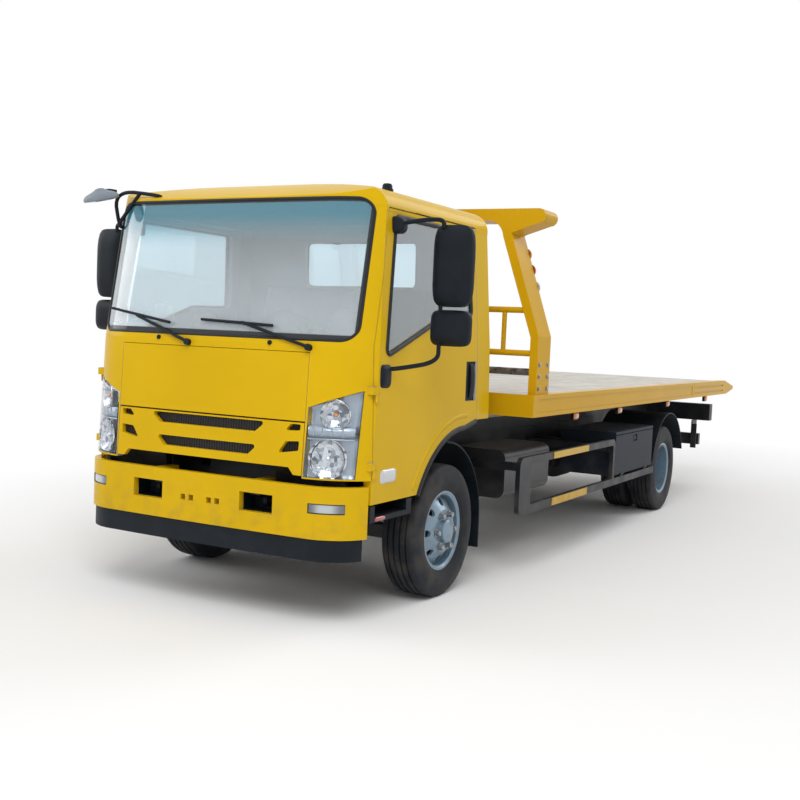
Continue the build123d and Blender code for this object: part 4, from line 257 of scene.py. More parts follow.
def hex_tree():
    """Node tree that stands a chamfered hexagon head on a washer on every point, along its out direction."""
    tree, (points, radius, height, material) = node_tree("hex_heads", "Points", ("Radius", "Height"), "Heads")
    chamfer, washer = height * 0.25, height * 0.2
    shank = height - chamfer
    hexagon = {"Vertices": 6, "Radius": radius, "Depth": shank}
    cap = {"Vertices": 6, "Radius Bottom": radius, "Radius Top": radius * 0.8, "Depth": chamfer}
    plate = {"Vertices": 16, "Radius": radius * 1.35, "Depth": washer}
    stack = (("Cylinder", hexagon, shank * 0.5), ("Cone", cap, shank), ("Cylinder", plate, washer * 0.5))
    head = tree.nodes.new("GeometryNodeJoinGeometry")
    for kind, sizes, lift in stack:
        shape = points.node("GeometryNodeMesh" + kind, {}, sizes, "Mesh")
        shift = lift.node("ShaderNodeCombineXYZ", {}, {"Z": lift})
        moved = shape.node("GeometryNodeTransform", {}, {"Geometry": shape, "Translation": shift})
        tree.links.new(moved.socket, head.inputs[0])
    out = points.node("GeometryNodeInputNamedAttribute", {"data_type": "FLOAT_VECTOR"}, {"Name": "out"})
    turned = out.node("FunctionNodeAlignRotationToVector", {"axis": "Z"}, {"Vector": out})
    heads = {"Points": points, "Instance": Wire(tree, head.outputs[0]), "Rotation": turned}
    end_tree(points.node("GeometryNodeInstanceOnPoints", {}, heads), material)
    return tree


hex_heads = hex_tree()


def placed(name, data):
    """New object in the scene."""
    made = bpy.data.objects.new(name, data)
    bpy.context.scene.collection.objects.link(made)
    return made


def frozen(holder):
    """Mesh of an object with its modifiers applied; the object goes."""
    mesh = bpy.data.meshes.new_from_object(holder.evaluated_get(bpy.context.evaluated_depsgraph_get()))
    bpy.data.objects.remove(holder)
    return mesh


def through(tree, mesh, **values):
    """Mesh that a node tree makes out of another one."""
    holder = placed(mesh.name + "_source", mesh)
    modifier = holder.modifiers.new("nodes", "NODES")
    modifier.node_group = tree
    for item in tree.interface.items_tree:
        if item.name.lower() in values:
            modifier[item.identifier] = values[item.name.lower()]
    return frozen(holder)


def carry(name, mesh, body, stands_for=()):
    """Makes a mesh a piece that moves with a body."""
    piece = placed(name, mesh)
    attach(piece, body)
    if stands_for:
        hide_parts(*stands_for)
    return piece


def bolts(name, body, rows, radius, height):
    """Zinc hexagon heads at rows of (place, out direction), as one mesh."""
    mesh = bpy.data.meshes.new(name)
    mesh.from_pydata([place for place, out in rows], [], [])
    out = mesh.attributes.new("out", "FLOAT_VECTOR", "POINT")
    for index, (place, direction) in enumerate(rows):
        out.data[index].vector = direction
    carry(name, through(hex_heads, mesh, radius=radius, height=height, material=bolt_zinc), body)


NUT_CIRCLE, NUT_COUNT = 0.107, 6
NUT_RADIUS, NUT_HEIGHT = 0.018, 0.03
NUT_FACES = (("front", FRONT_AXLE_X, 0.9453), ("rear", REAR_AXLE_X, 0.8253))
for axle, axle_x, face_y in NUT_FACES:
    for side, hand in SIDES:
        rows = []
        for index in range(NUT_COUNT):
            angle = math.tau * index / NUT_COUNT
            x, z = axle_x + NUT_CIRCLE * math.cos(angle), AXLE_Z + NUT_CIRCLE * math.sin(angle)
            rows.append(((x, side * face_y, z), (0, side, 0)))
        bolts(f"wheel_nuts_{axle}_{hand}", f"wheel_{axle}_{hand}", rows, NUT_RADIUS, NUT_HEIGHT)


# Tyres: rubber with four straight grooves round the tread and fine slits across its ribs.
# Rings stand up on the sidewall; dust lies on the rubber in patches.
def rubber(place):
    along, across = axes(place.node("ShaderNodeUVMap", {"uv_map": "tread"}, {}))[:2]
    grit = cloud(place, 260.0, 4.0)
    tread = ease(abs(across - 0.5), 0.19, 0.18)
    slit = ease(along.math("SINE", along * 1319.5 + across * 40.0), 0.86, 0.95) * tread
    dust = ease(cloud(place, 7.0, 5.0), 0.42, 0.7) * 0.3
    black = blend_tint((0.009, 0.011, 0.015), (0.018, 0.020, 0.025), grit)
    return {
        "Base Color": blend_tint(black, (0.13, 0.115, 0.1), dust),
        "Roughness": 0.62 + dust * 0.5 - slit * 0.1,
        "Normal": relief(wave(across, 260.0) * (1 - tread) * 0.4 + grit * 0.25 - slit, 0.002, 0.6),
    }


tyre_rubber = finish("tyre_rubber", rubber, specular_ior_level=0.25)
TYRE_RADIUS, CROWN_DROP, CROWN_HALF = 0.3985, 0.0042, 0.09
TREAD_GROOVES = (-0.058, -0.0195, 0.0195, 0.058)
GROOVE_HALF, GROOVE_DEPTH = 0.005, 0.011
GROOVE_LIP, GROOVE_SLOPE = 0.0012, 0.001
TYRE_STEPS = 112
# (across, radius) from the bead up to the shoulder
TYRE_WALL = ((0.0797, 0.2223), (0.0797, 0.2383), (0.095, 0.2386), (0.104, 0.252), (0.1125, 0.274),
             (0.1165, 0.292), (0.1174, 0.308), (0.1162, 0.326), (0.1135, 0.344), (0.1098, 0.36),
             (0.1062, 0.3735), (0.1035, 0.3825), (0.0985, 0.3895), (0.09, 0.3942))


def tyre_outline():
    """The tyre's section as (across, radius), from one bead over the tread to the other."""
    tread = []
    for centre in TREAD_GROOVES:
        crown = TYRE_RADIUS - CROWN_DROP * (centre / CROWN_HALF) ** 2
        top, foot = GROOVE_HALF + GROOVE_LIP, GROOVE_HALF - GROOVE_SLOPE
        tread += [(centre - top, crown), (centre - foot, crown - GROOVE_DEPTH),
                  (centre + foot, crown - GROOVE_DEPTH), (centre + top, crown)]
    middle = len(tread) // 2
    tread[middle:middle] = [(0.0, TYRE_RADIUS)]
    return [(-across, radius) for across, radius in TYRE_WALL] + tread + list(TYRE_WALL[::-1])


def tyre(bm, axle_x, centre_y):
    """Spins the section round the axle and lays the tread's map on it."""
    section = tyre_outline()
    layer = bm.loops.layers.uv.get("tread") or bm.loops.layers.uv.new("tread")
    rings = []
    for step in range(TYRE_STEPS):
        angle = math.tau * step / TYRE_STEPS
        rings.append([bm.verts.new((axle_x + radius * math.cos(angle), centre_y + across,
                                    AXLE_Z + radius * math.sin(angle))) for across, radius in section])
    count = len(section)
    for step in range(TYRE_STEPS):
        nearer, further = rings[step], rings[(step + 1) % TYRE_STEPS]
        for index in range(count):
            after = (index + 1) % count
            face = bm.faces.new((nearer[index], further[index], further[after], nearer[after]))
            face.smooth = True
            corners = ((step, index), (step + 1, index), (step + 1, index + 1), (step, index + 1))
            for loop, (turn, row) in zip(face.loops, corners):
                loop[layer].uv = (turn / TYRE_STEPS, row / count)


def mesh_of(bm, name):
    """Mesh of a bmesh, which is freed."""
    mesh = bpy.data.meshes.new(name)
    bm.to_mesh(mesh)
    bm.free()
    return mesh


def piece_from(bm, name, material, body, stands_for=(), sharp=None):
    """Turns a bmesh into a named piece that rides a body."""
    bmesh.ops.recalc_face_normals(bm, faces=bm.faces)
    mesh = mesh_of(bm, name)
    mesh.materials.append(material)
    if sharp:
        mesh.set_sharp_from_angle(angle=math.radians(sharp))
    carry(name, mesh, body, stands_for)


# (node, axle, place of the axle, places of its tyres across the truck)
TYRES = (("tyre_front", "front", FRONT_AXLE_X, (0.84,)), ("tyres_rear", "rear", REAR_AXLE_X, (0.69, 0.96)))
for side, hand in SIDES:
    for node, axle, axle_x, centres in TYRES:
        bm = bmesh.new()
        for centre in centres:
            tyre(bm, axle_x, side * centre)
        label = f"{node}_{hand}"
        piece_from(bm, f"{label}_tread", tyre_rubber, f"wheel_{axle}_{hand}", [label], 40)


# Bumper: a pressed steel channel in the cab's yellow, with a dark lip bolted under it.
# Base coat under clear lacquer, a faint orange peel, and road film towards its lower edge.
CAB_YELLOW = (0.68, 0.425, 0.002)
BED_YELLOW = (0.62, 0.35, 0.006)


def yellow_coat(colour):
    def coat(place):
        drift = ease(cloud(place, 1.6, 3.0), 0.3, 0.7)
        film = ease(axes(place)[2], 0.85, 0.4) * ease(cloud(place, 11.0, 5.0), 0.4, 0.75) * 0.22
        warm = tuple(part * 0.93 for part in colour)
        return {
            "Base Color": blend_tint(blend_tint(warm, colour, drift), ROAD_DUST, film),
            "Roughness": 0.3 + film * 0.8,
            "Normal": relief(cloud(place, 330.0, 2.0), 0.0004, 0.18),
        }
    return coat


cab_yellow = finish("cab_yellow", yellow_coat(CAB_YELLOW), coat_weight=0.14, coat_roughness=0.05,
                    specular_ior_level=0.06)
bed_yellow = finish("bed_yellow", yellow_coat(BED_YELLOW), coat_weight=0.05, coat_roughness=0.12,
                    specular_ior_level=0.06)


def moulded_black(place):
    grain = place.node("ShaderNodeTexVoronoi", {"feature": "F1"}, {"Vector": place, "Scale": 900.0})
    bloom = cloud(place, 8.0, 5.0)
    return {
        "Base Color": blend_tint((0.005, 0.008, 0.012), (0.010, 0.014, 0.020), ease(bloom, 0.35, 0.75)),
        "Roughness": ease(bloom, 0.2, 0.8, 0.45, 0.6),
        "Normal": relief(grain, 0.0005, 0.35),
    }


black_plastic = finish("black_plastic", moulded_black, specular_ior_level=0.2)
dress(cab_yellow, "bumper")
dress(black_plastic, "bumper_lip", "cab_steps", "mudguards", "wipers")


# Behind the bumper's openings sit black boxes with a towing eye; two screws hold each from behind.
# Moulded in the same black as the lip.
def skin_rings(bm, rings, smooth=True):
    """Skins closed rings of corners one after the other; a ring of one corner is a tip."""
    for near, far in zip(rings, rings[1:]):
        for step in range(max(len(near), len(far))):
            after = step + 1
            corners = (near[step % len(near)], near[after % len(near)],
                       far[after % len(far)], far[step % len(far)])
            face = bm.faces.new(list(dict.fromkeys(corners)))
            face.smooth = smooth


def turn(bm, centre, axis, profile, steps=32, smooth=True):
    """Turns a profile of (along the axis, radius) about an axis through centre."""
    axis = Vector(axis).normalized()
    side = axis.orthogonal().normalized()
    over = axis.cross(side)
    rings = []
    for along, radius in profile:
        hub = Vector(centre) + axis * along
        angles = [math.tau * step / steps for step in range(steps if radius else 1)]
        spokes = [(side * math.cos(angle) + over * math.sin(angle)) * radius for angle in angles]
        rings.append([bm.verts.new(hub + spoke) for spoke in spokes])
    skin_rings(bm, rings, smooth)


def patch(bm, grid):
    """Skins rows of points with quads."""
    rows = [[bm.verts.new(point) for point in row] for row in grid]
    for near, far in zip(rows, rows[1:]):
        for column in range(len(near) - 1):
            face = bm.faces.new((near[column], near[column + 1], far[column + 1], far[column]))
            face.smooth = True


def prism(bm, outline, thickness):
    """Closed slab: an outline of points, pushed along a vector."""
    low = [bm.verts.new(Vector(point)) for point in outline]
    high = [bm.verts.new(Vector(point) + Vector(thickness)) for point in outline]
    bm.faces.new(low)
    bm.faces.new(high[::-1])
    for index in range(len(low)):
        after = (index + 1) % len(low)
        bm.faces.new((low[index], low[after], high[after], high[index]))


def box(bm, low, high):
    """Closed block between two corners."""
    (x0, y0, z0), (x1, y1, z1) = low, high
    prism(bm, ((x0, y0, z0), (x0, y1, z0), (x0, y1, z1), (x0, y0, z1)), (x1 - x0, 0, 0))


POCKET_Y, POCKET_Z = (0.266, 0.484), (0.580, 0.686)
POCKET_BACK, POCKET_FRONT, POCKET_WALL = FRONT_AXLE_X + 0.985, FRONT_AXLE_X + 1.083, 0.004
TOW_REACH, TOW_Y, TOW_Z, TOW_HALF, LUG_HALF = 0.02, 0.375, 0.633, 0.012, 0.018
TOW_RING = [(-TOW_HALF, LUG_HALF), (-TOW_HALF, 0.036), (TOW_HALF, 0.036), (TOW_HALF, LUG_HALF),
            (-TOW_HALF, LUG_HALF)]
pockets = bmesh.new()
for side, hand in SIDES:
    y0, y1 = sorted((side * POCKET_Y[0], side * POCKET_Y[1]))
    z0, z1 = POCKET_Z
    box(pockets, (POCKET_BACK, y0, z0), (POCKET_BACK + POCKET_WALL, y1, z1))
    for low, high in (((y0, z0), (y1, z0 + POCKET_WALL)), ((y0, z1 - POCKET_WALL), (y1, z1)),
                      ((y0, z0), (y0 + POCKET_WALL, z1)), ((y1 - POCKET_WALL, z0), (y1, z1))):
        box(pockets, (POCKET_BACK, *low), (POCKET_FRONT, *high))
    middle = side * TOW_Y
    turn(pockets, (POCKET_BACK + TOW_REACH, middle, TOW_Z), (0, 1, 0), TOW_RING, 28)
    box(pockets, (POCKET_BACK, middle - TOW_HALF, TOW_Z - LUG_HALF),
        (POCKET_BACK + TOW_HALF, middle + TOW_HALF, TOW_Z + LUG_HALF))
piece_from(pockets, "bumper_pockets", black_plastic, "chassis", (), 35)


# Cab: pressed steel skins in one yellow, spot-welded to a floor pan; doors and front lid hang on hinges.
# The floor pan with its footwells and tunnel is in the chassis paint.
dress(cab_yellow, "cab_roof", "cab_front", "cab_back", "front_lid", "grille", "door_left", "door_right")
dress(chassis_black, "cab_floor")


# Behind the grille's slots sits a black insert with upright ribs, moulded in one.
# It is clipped to the grille from behind.
def ribbed_black(place):
    rib = wave(axes(place)[1], 360.0)
    # Rib crests are painted lighter and the grooves between them darker: painted light and shade that follows
    # the ribs' bump.
    painted_light = ease(rib, -0.5, 0.6)
    return {
        "Base Color": blend_tint((0.003, 0.003, 0.004), (0.022, 0.024, 0.028), painted_light),
        "Roughness": 0.5 - painted_light * 0.1,
        "Normal": relief(rib, 0.006, 0.8),
    }


dress(finish("grille_ribs", ribbed_black, specular_ior_level=0.35), "grille_insert")


# Panes: laminated windscreen and toughened side and back glass, faintly blue, bonded in.
# The windscreen has a black ceramic band that hides the bond, a blue sun band on top and a pale film: dust
# and painted reflection.
SUN_BAND = (0.07, 0.40, 0.53)
DUST_AND_REFLECTION_FILM = (0.62, 0.68, 0.72)


def pane_edge(place):
    """1 on the black band round the windscreen, 0 on its clear part."""
    x, y, z = axes(place)
    side = ease(abs(y), 0.852, 0.856)
    low = ease(z, 1.544, 1.538)
    high = ease(z, 2.244, 2.248)
    return side.math("MAXIMUM", side, low.math("MAXIMUM", low, high))


def layered(amount, under, over):
    """Shows one shader over another by an amount, as the surface of their material."""
    tree = amount.tree
    joined = tree.nodes.new("ShaderNodeMixShader")
    for source, socket in zip((amount.socket, under, over), joined.inputs):
        tree.links.new(source, socket)
    tree.links.new(joined.outputs[0], tree.nodes["Material Output"].inputs["Surface"])
    return joined.outputs[0]


def glazing(name, banded=False):
    """Clear pane; a banded one has the windscreen's bands and a pale film of dust and painted reflection."""
    material, place = blank(name)
    nodes = material.node_tree.nodes
    z = axes(place)[2]
    streak = cloud(place, 3.0, 4.0)
    tint = blend_tint((0.72, 0.85, 0.91), (0.78, 0.90, 0.95), streak)
    if banded:
        tint = blend_tint(tint, SUN_BAND, ease(z, 1.98, 2.2))
    glass = nodes["Principled BSDF"]
    set_sockets(glass, {"Base Color": tint, "Roughness": ease(streak, 0.3, 0.8, 0.0, 0.02)}, ior=1.12,
                transmission_weight=1.0, coat_weight=1.0, coat_roughness=0.01, coat_ior=2.1)
    if banded:
        # Pale diffuse film over the glass: partly dust, partly painted reflection of a bright sky; thickest
        # towards the lower edge and in the sun band.
        sun = ease(z, 2.0, 2.2)
        dust = blend_tint(blend_tint(DUST_AND_REFLECTION_FILM, (0.72, 0.77, 0.80), streak), SUN_BAND, sun)
        speck = blend_tint((0.012, 0.015, 0.019), (0.020, 0.024, 0.029), cloud(place, 90.0))
        film, enamel = [nodes.new("ShaderNodeBsdfPrincipled") for _ in range(2)]
        set_sockets(film, {"Base Color": dust}, roughness=0.5)
        set_sockets(enamel, {"Base Color": speck}, roughness=0.12)
        cover = 0.06 + sun * 0.2 + ease(z, 2.1, 1.6) * (0.16 + streak * 0.16)
        layered(pane_edge(place), layered(cover, glass.outputs[0], film.outputs[0]), enamel.outputs[0])
    return material


dress(glazing("windscreen_glass", banded=True), "windscreen")
dress(glazing("side_glass"), "door_glass_left", "door_glass_right", "rear_window")


# Rubber seals: black beading pressed on round the windscreen, the door windows and the rear window.
# Extruded lip section, one closed loop for each pane.
def beading_tree():
    """Node tree that runs a round section along the edges of a mesh."""
    tree, (path, radius, material) = node_tree("seal_beading", "Path", ("Radius",), "Seal")
    curve = path.node("GeometryNodeMeshToCurve", {}, {"Mesh": path})
    section = path.node("GeometryNodeCurvePrimitiveCircle", {}, {"Resolution": 8, "Radius": radius}, "Curve")
    swept = {"Curve": curve, "Profile Curve": section, "Fill Caps": True}
    end_tree(path.node("GeometryNodeCurveToMesh", {}, swept), material)
    return tree


seal_beading = beading_tree()
SEAM, CLOSE = 0.00002, 0.00001
OUTER_FACING = 0.55


def welded(node):
    """CAD node as a bmesh with its seams closed."""
    bm = bmesh.new()
    bm.from_mesh(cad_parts[node].data)
    bmesh.ops.remove_doubles(bm, verts=bm.verts, dist=SEAM)
    return bm


def pane_rim(node, facing, wanted):
    """Edges round a node's outer face whose middles are wanted, as a bmesh that holds edges alone."""
    rim = welded(node)
    facing = Vector(facing)
    outer = {face for face in rim.faces if face.normal.dot(facing) > OUTER_FACING}
    kept = {edge for edge in rim.edges if len([face for face in edge.link_faces if face in outer]) == 1
            and wanted((edge.verts[0].co + edge.verts[1].co) / 2)}
    dropped = [edge for edge in rim.edges if edge not in kept]
    bmesh.ops.delete(rim, geom=list(rim.faces), context="FACES_ONLY")
    bmesh.ops.delete(rim, geom=dropped, context="EDGES")
    return rim


def sweep(name, path, radius, material):
    """Mesh of a round section run along the edges of a bmesh."""
    made = through(seal_beading, mesh_of(path, name), radius=radius, material=material)
    made.shade_smooth()
    return made


soft_rubber = mottled((0.007, 0.008, 0.010), (0.016, 0.018, 0.021), (20.0, 4.0), (0.2, 0.8, 0.42, 0.6),
                      grain=(500.0, 2.0, 0.0003, 0.3))
seal_rubber = finish("seal_rubber", soft_rubber, specular_ior_level=0.35)


def seal(name, node, facing, radius, body):
    """Rubber beading round the outer face of a node."""
    rim = pane_rim(node, facing, lambda middle: True)
    carry(name, sweep(name, rim, radius, seal_rubber), body)


seal("seal_windscreen", "windscreen", (1, 0, 0), 0.009, "cab")
seal("seal_rear_window", "rear_window", (-1, 0, 0), 0.008, "cab")
for side, hand in SIDES:
    seal(f"seal_door_{hand}", f"door_glass_{hand}", (0, side, 0), 0.015, f"door_{hand}")


# Wheel arch of each door: a black rubber lip pressed over its edge, and a swage pressed into the steel above.
# Both follow the arch; the swage is in the door's own paint.
ARCH_FRONT, ARCH_TOP = FRONT_AXLE_X + 0.388, 1.047
WHEEL_CENTRE = Vector((FRONT_AXLE_X, 0.0, AXLE_Z))
RAY_START_Y = 2.0
# (name, radius of the section, shift away from the wheel, shift out of the skin, material, slot)
ARCH_TRIM = (("arch_lip", 0.020, -0.013, -0.008, seal_rubber, "black_plastic"),
             ("arch_swage", 0.020, 0.066, -0.014, cab_yellow, "cab_yellow"))
for side, hand in SIDES:
    door = f"door_{hand}"
    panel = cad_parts[door].data
    corners = [vert.co for vert in panel.vertices]
    skin = BVHTree.FromPolygons(corners, [face.vertices for face in panel.polygons])
    for name, radius, away, proud, material, slot in ARCH_TRIM:
        path = pane_rim(door, (0, side, 0), lambda middle: middle.x < ARCH_FRONT and middle.z < ARCH_TOP)
        for vert in list(path.verts):
            spoke = vert.co - WHEEL_CENTRE
            spoke.y = 0
            vert.co += spoke.normalized() * away
            if away > 0:
                start = Vector((vert.co.x, side * RAY_START_Y, vert.co.z))
                hit = skin.ray_cast(start, Vector((0, -side, 0)))[0]
                if hit is None:
                    path.verts.remove(vert)
                    continue
                vert.co.y = hit.y
            vert.co.y += side * proud
        label = f"{name}_{hand}"
        carry(label, sweep(label, path, radius, material), door)


# Inside, the cab is lined: pressed grey felt under the roof and on the front, doors, pillars and back wall.
# Clipped over the steel, a little proud of it.
def pressed_felt(place):
    fibre = cloud(place, 240.0, 5.0)
    patch_tone = cloud(place, 2.5, 3.0)
    return {
        "Base Color": blend_tint((0.42, 0.43, 0.44), (0.52, 0.53, 0.54), patch_tone * 0.6 + fibre * 0.4),
        "Roughness": 0.78 + fibre * 0.15,
        "Normal": relief(fibre, 0.0012, 0.5),
    }


lining_felt = finish("lining_felt", pressed_felt, specular_ior_level=0.2)
CABIN_CENTRE = Vector((FRONT_AXLE_X + 0.25, 0.0, 1.62))
LINING_STEP, LINING_FACING = 0.0012, 0.12
for node in ("cab_roof", "cab_back", "cab_front", "door_left", "door_right"):
    bm = welded(node)
    outside = []
    for face in bm.faces:
        inward = CABIN_CENTRE - face.calc_center_median()
        if face.normal.dot(inward) < LINING_FACING * inward.length:
            outside.append(face)
    bmesh.ops.delete(bm, geom=outside, context="FACES")
    bm.normal_update()
    for vert in bm.verts:
        vert.co += vert.normal * LINING_STEP
    label = node + "_lining"
    mesh = mesh_of(bm, label)
    mesh.materials.append(lining_felt)
    carry(label, mesh, node if node.startswith("door") else "cab")


# Door handles: a black tray in the pressed recess with an upright grip across it.
# Glass-filled nylon, screwed on from inside the door.
HANDLE_X, HANDLE_Z = (FRONT_AXLE_X - 0.3285, FRONT_AXLE_X - 0.1855), (1.1715, 1.4105)
TRAY_Y, TRAY_THICK = 0.9412, 0.003
GRIP_X, GRIP_END, GRIP_ROOT, GRIP_BOW = HANDLE_X[0] + 0.05, 0.012, TRAY_Y + 0.004, 0.0125
GRIP_HALF_X, GRIP_HALF_Y = 0.030, 0.0045
GRIP_STEPS, GRIP_CORNERS = 16, 12
for side, hand in SIDES:
    bm = bmesh.new()
    box(bm, (HANDLE_X[0], side * TRAY_Y, HANDLE_Z[0]),
        (HANDLE_X[1], side * (TRAY_Y + TRAY_THICK), HANDLE_Z[1]))
    grid = []
    for step in range(GRIP_STEPS + 1):
        part = step / GRIP_STEPS
        z = HANDLE_Z[0] + GRIP_END + (HANDLE_Z[1] - HANDLE_Z[0] - 2 * GRIP_END) * part
        bow = GRIP_ROOT + GRIP_BOW * math.sin(math.pi * part) ** 0.5
        ring = []
        for corner in range(GRIP_CORNERS + 1):
            angle = math.tau * corner / GRIP_CORNERS
            y = side * (bow + GRIP_HALF_Y * math.sin(angle))
            ring.append((GRIP_X + GRIP_HALF_X * math.cos(angle), y, z))
        grid.append(ring)
    patch(bm, grid)
    bmesh.ops.remove_doubles(bm, verts=bm.verts, dist=CLOSE)
    piece_from(bm, f"door_handle_{hand}", black_plastic, f"door_{hand}", (), 40)


# Mirrors: two round-backed black shells one above the other on bent tubes from two feet on the door.
# Moulded shells and feet, painted tube; the silvered glass sits on their rear faces inside a border of the
# shell.
def blister(bm, centre, along, up, half_along, half_up, rise, sink, rings=7, steps=48):
    """Rounded pad that bulges from its outline towards along x up, closed at the back."""
    centre, along, up = Vector(centre), Vector(along), Vector(up)
    out = along.cross(up)
    rows = [[bm.verts.new(centre + out * rise)]]
    for ring in range(1, rings + 1):
        part = ring / rings
        row = []
        for step in range(steps):
            angle = math.tau * step / steps
            across, over = math.cos(angle), math.sin(angle)
            reach = part * (abs(across) ** 5 + abs(over) ** 5) ** -0.2
            spot = centre + along * (half_along * across * reach) + up * (half_up * over * reach)
            row.append(bm.verts.new(spot + out * (rise * (1 - part ** 4))))
        rows.append(row)
    rows.append([bm.verts.new(vert.co - out * sink) for vert in rows[-1]])
    skin_rings(bm, rows)
    bm.faces.new(rows[-1][::-1])


silvered = mottled((0.62, 0.66, 0.70), (0.72, 0.76, 0.80), (15.0, 4.0), (0.4, 0.8, 0.02, 0.09))
mirror_glass = finish("mirror_glass", silvered, metallic=1.0)
MIRROR_REAR_X, MIRROR_MID_Y, MIRROR_HALF = FRONT_AXLE_X + 0.56, 1.215, 0.115
SHELL_WALL, SHELL_CROWN = 0.036, 0.044
GLASS_BORDER, GLASS_GAP, GLASS_RISE, GLASS_SINK = 0.015, 0.0008, 0.0015, 0.0006
SHELLS = ((1.933, 0.217), (1.6035, 0.0965))
# (place along the truck, height, half length, half height) of the feet
FEET = ((0.690, 2.141, 0.050, 0.045), (0.806, 1.335, 0.066, 0.073))
FOOT_SKIN_Y, FOOT_SINK, FOOT_RISE = 0.94, 0.05, 0.035
TUBE_RADIUS, TUBE_X, TUBE_Y = 0.012, 0.605, 1.16
# (place along the truck, place across, height) of each tube's corners
TUBES = (((0.690, 0.945, 2.150), (0.640, 1.080, 2.176), (TUBE_X, TUBE_Y, 2.176), (TUBE_X, TUBE_Y, 2.130)),
         ((TUBE_X, TUBE_Y, 1.690), (TUBE_X, TUBE_Y, 1.726)),
         ((0.780, 0.945, 1.372), (0.750, 1.010, 1.380), (TUBE_X, TUBE_Y, 1.420), (TUBE_X, TUBE_Y, 1.520)))
UPRIGHT = (0, 0, 1)


def rounded(points, rounds=3):
    """Path through points with its corners cut round."""
    path = [Vector(point) for point in points]
    for _ in range(rounds):
        cut = [path[0]]
        for start, end in zip(path, path[1:]):
            cut += [start.lerp(end, 0.25), start.lerp(end, 0.75)]
        path = cut + [path[-1]]
    return path


def bent_tube(bm, corners, radius):
    """Adds a tube through corners, given from the front axle on."""
    path = bmesh.new()
    line = [path.verts.new((FRONT_AXLE_X + x, y, z)) for x, y, z in rounded(corners)]
    for start, end in zip(line, line[1:]):
        path.edges.new((start, end))
    bm.from_mesh(sweep("bent_tube", path, radius, black_plastic))


for side, hand in SIDES:
    shells, panes = bmesh.new(), bmesh.new()
    for z, half in SHELLS:
        blister(shells, (MIRROR_REAR_X + SHELL_WALL, side * MIRROR_MID_Y, z), (0, 1, 0), UPRIGHT,
                MIRROR_HALF, half, SHELL_CROWN, SHELL_WALL)
        blister(panes, (MIRROR_REAR_X - GLASS_GAP, side * MIRROR_MID_Y, z), (0, -1, 0), UPRIGHT,
                MIRROR_HALF - GLASS_BORDER, half - GLASS_BORDER, GLASS_RISE, GLASS_SINK)
    for x, z, half_x, half_z in FEET:
        blister(shells, (FRONT_AXLE_X + x, side * FOOT_SKIN_Y, z), (-side, 0, 0), UPRIGHT,
                half_x, half_z, FOOT_RISE, FOOT_SINK)
    for corners in TUBES:
        bent_tube(shells, [(x, side * y, z) for x, y, z in corners], TUBE_RADIUS)
    door = f"door_{hand}"
    piece_from(shells, f"mirror_shells_{hand}", black_plastic, door, [f"mirror_{hand}"], 50)
    piece_from(panes, f"mirror_glass_{hand}", mirror_glass, door, (), 40)


# Kerb mirror: a grey domed head that looks down past the right corner, on a frame of bent tube.
# The frame is bolted to the roof's edge and the pillar, and painted black.
KERB_CENTRE, KERB_UP = Vector((FRONT_AXLE_X + 1.004, -0.914, 2.302)), Vector((0.25, -0.1, 1.0)).normalized()
KERB_TUBE, KERB_PANE_DROP = 0.011, 0.0302
KERB_HEAD = ((-0.030, 0), (-0.030, 0.098), (-0.026, 0.104), (-0.014, 0.104), (0.0, 0.095), (0.011, 0.077),
             (0.020, 0.052), (0.030, 0.033), (0.038, 0.021), (0.041, 0))
KERB_PANE = ((0, 0), (0, 0.092), (0.002, 0.090), (0.006, 0.05), (0.0075, 0))
# (place along the truck, place across, height) of each tube's corners
KERB_TUBES = (((0.878, -0.553, 2.290), (0.900, -0.556, 2.306), (0.930, -0.880, 2.340), (0.880, -0.880, 2.130),
               (0.850, -0.873, 2.129)),
              ((0.915, -0.690, 2.318), (0.880, -0.880, 2.150)),
              ((0.922, -0.868, 2.332), (0.965, -0.896, 2.336), (1.004, -0.912, 2.318)))
grey_coat = mottled((0.15, 0.18, 0.22), (0.23, 0.26, 0.30), (12.0, 4.0), (0.2, 0.8, 0.38, 0.52),
                    grain=(700.0, 2.0, 0.0004, 0.3))
kerb_grey = finish("kerb_grey", grey_coat, specular_ior_level=0.35)
head, tubes, pane = bmesh.new(), bmesh.new(), bmesh.new()
turn(head, KERB_CENTRE, KERB_UP, KERB_HEAD, 48)
for corners in KERB_TUBES:
    bent_tube(tubes, corners, KERB_TUBE)
turn(pane, KERB_CENTRE - KERB_UP * KERB_PANE_DROP, -KERB_UP, KERB_PANE)
piece_from(tubes, "kerb_frame", black_plastic, "cab", ["kerb_mirror"], 50)
piece_from(head, "kerb_head", kerb_grey, "cab", (), 50)
piece_from(pane, "kerb_glass", mirror_glass, "cab", (), 50)


# Headlamps: a clear moulding that follows the cab's corner, over a pale tray with two bright bowls.
# The upper bowl holds the amber turn bulb, the faceted lower one the main beam; a ribbed bar parts them.
CORNER_START, CORNER_MID, CORNER_END = (1.104, 0.64), (1.008, 0.88), (0.914, 0.958)
CAB_FOOT_Z, NOSE_RAKE = 0.64, 0.05


def corner_circle():
    """Centre and radius of the cab's rounded corner in plan."""
    (ax, ay), (bx, by), (cx, cy) = CORNER_START, CORNER_MID, CORNER_END
    spread = 2 * (ax * (by - cy) + bx * (cy - ay) + cx * (ay - by))
    a, b, c = ax * ax + ay * ay, bx * bx + by * by, cx * cx + cy * cy
    x = (a * (by - cy) + b * (cy - ay) + c * (ay - by)) / spread
    y = (a * (cx - bx) + b * (ax - cx) + c * (bx - ax)) / spread
    return x, y, math.hypot(ax - x, ay - y)


CORNER_X, CORNER_Y, CORNER_RADIUS = corner_circle()


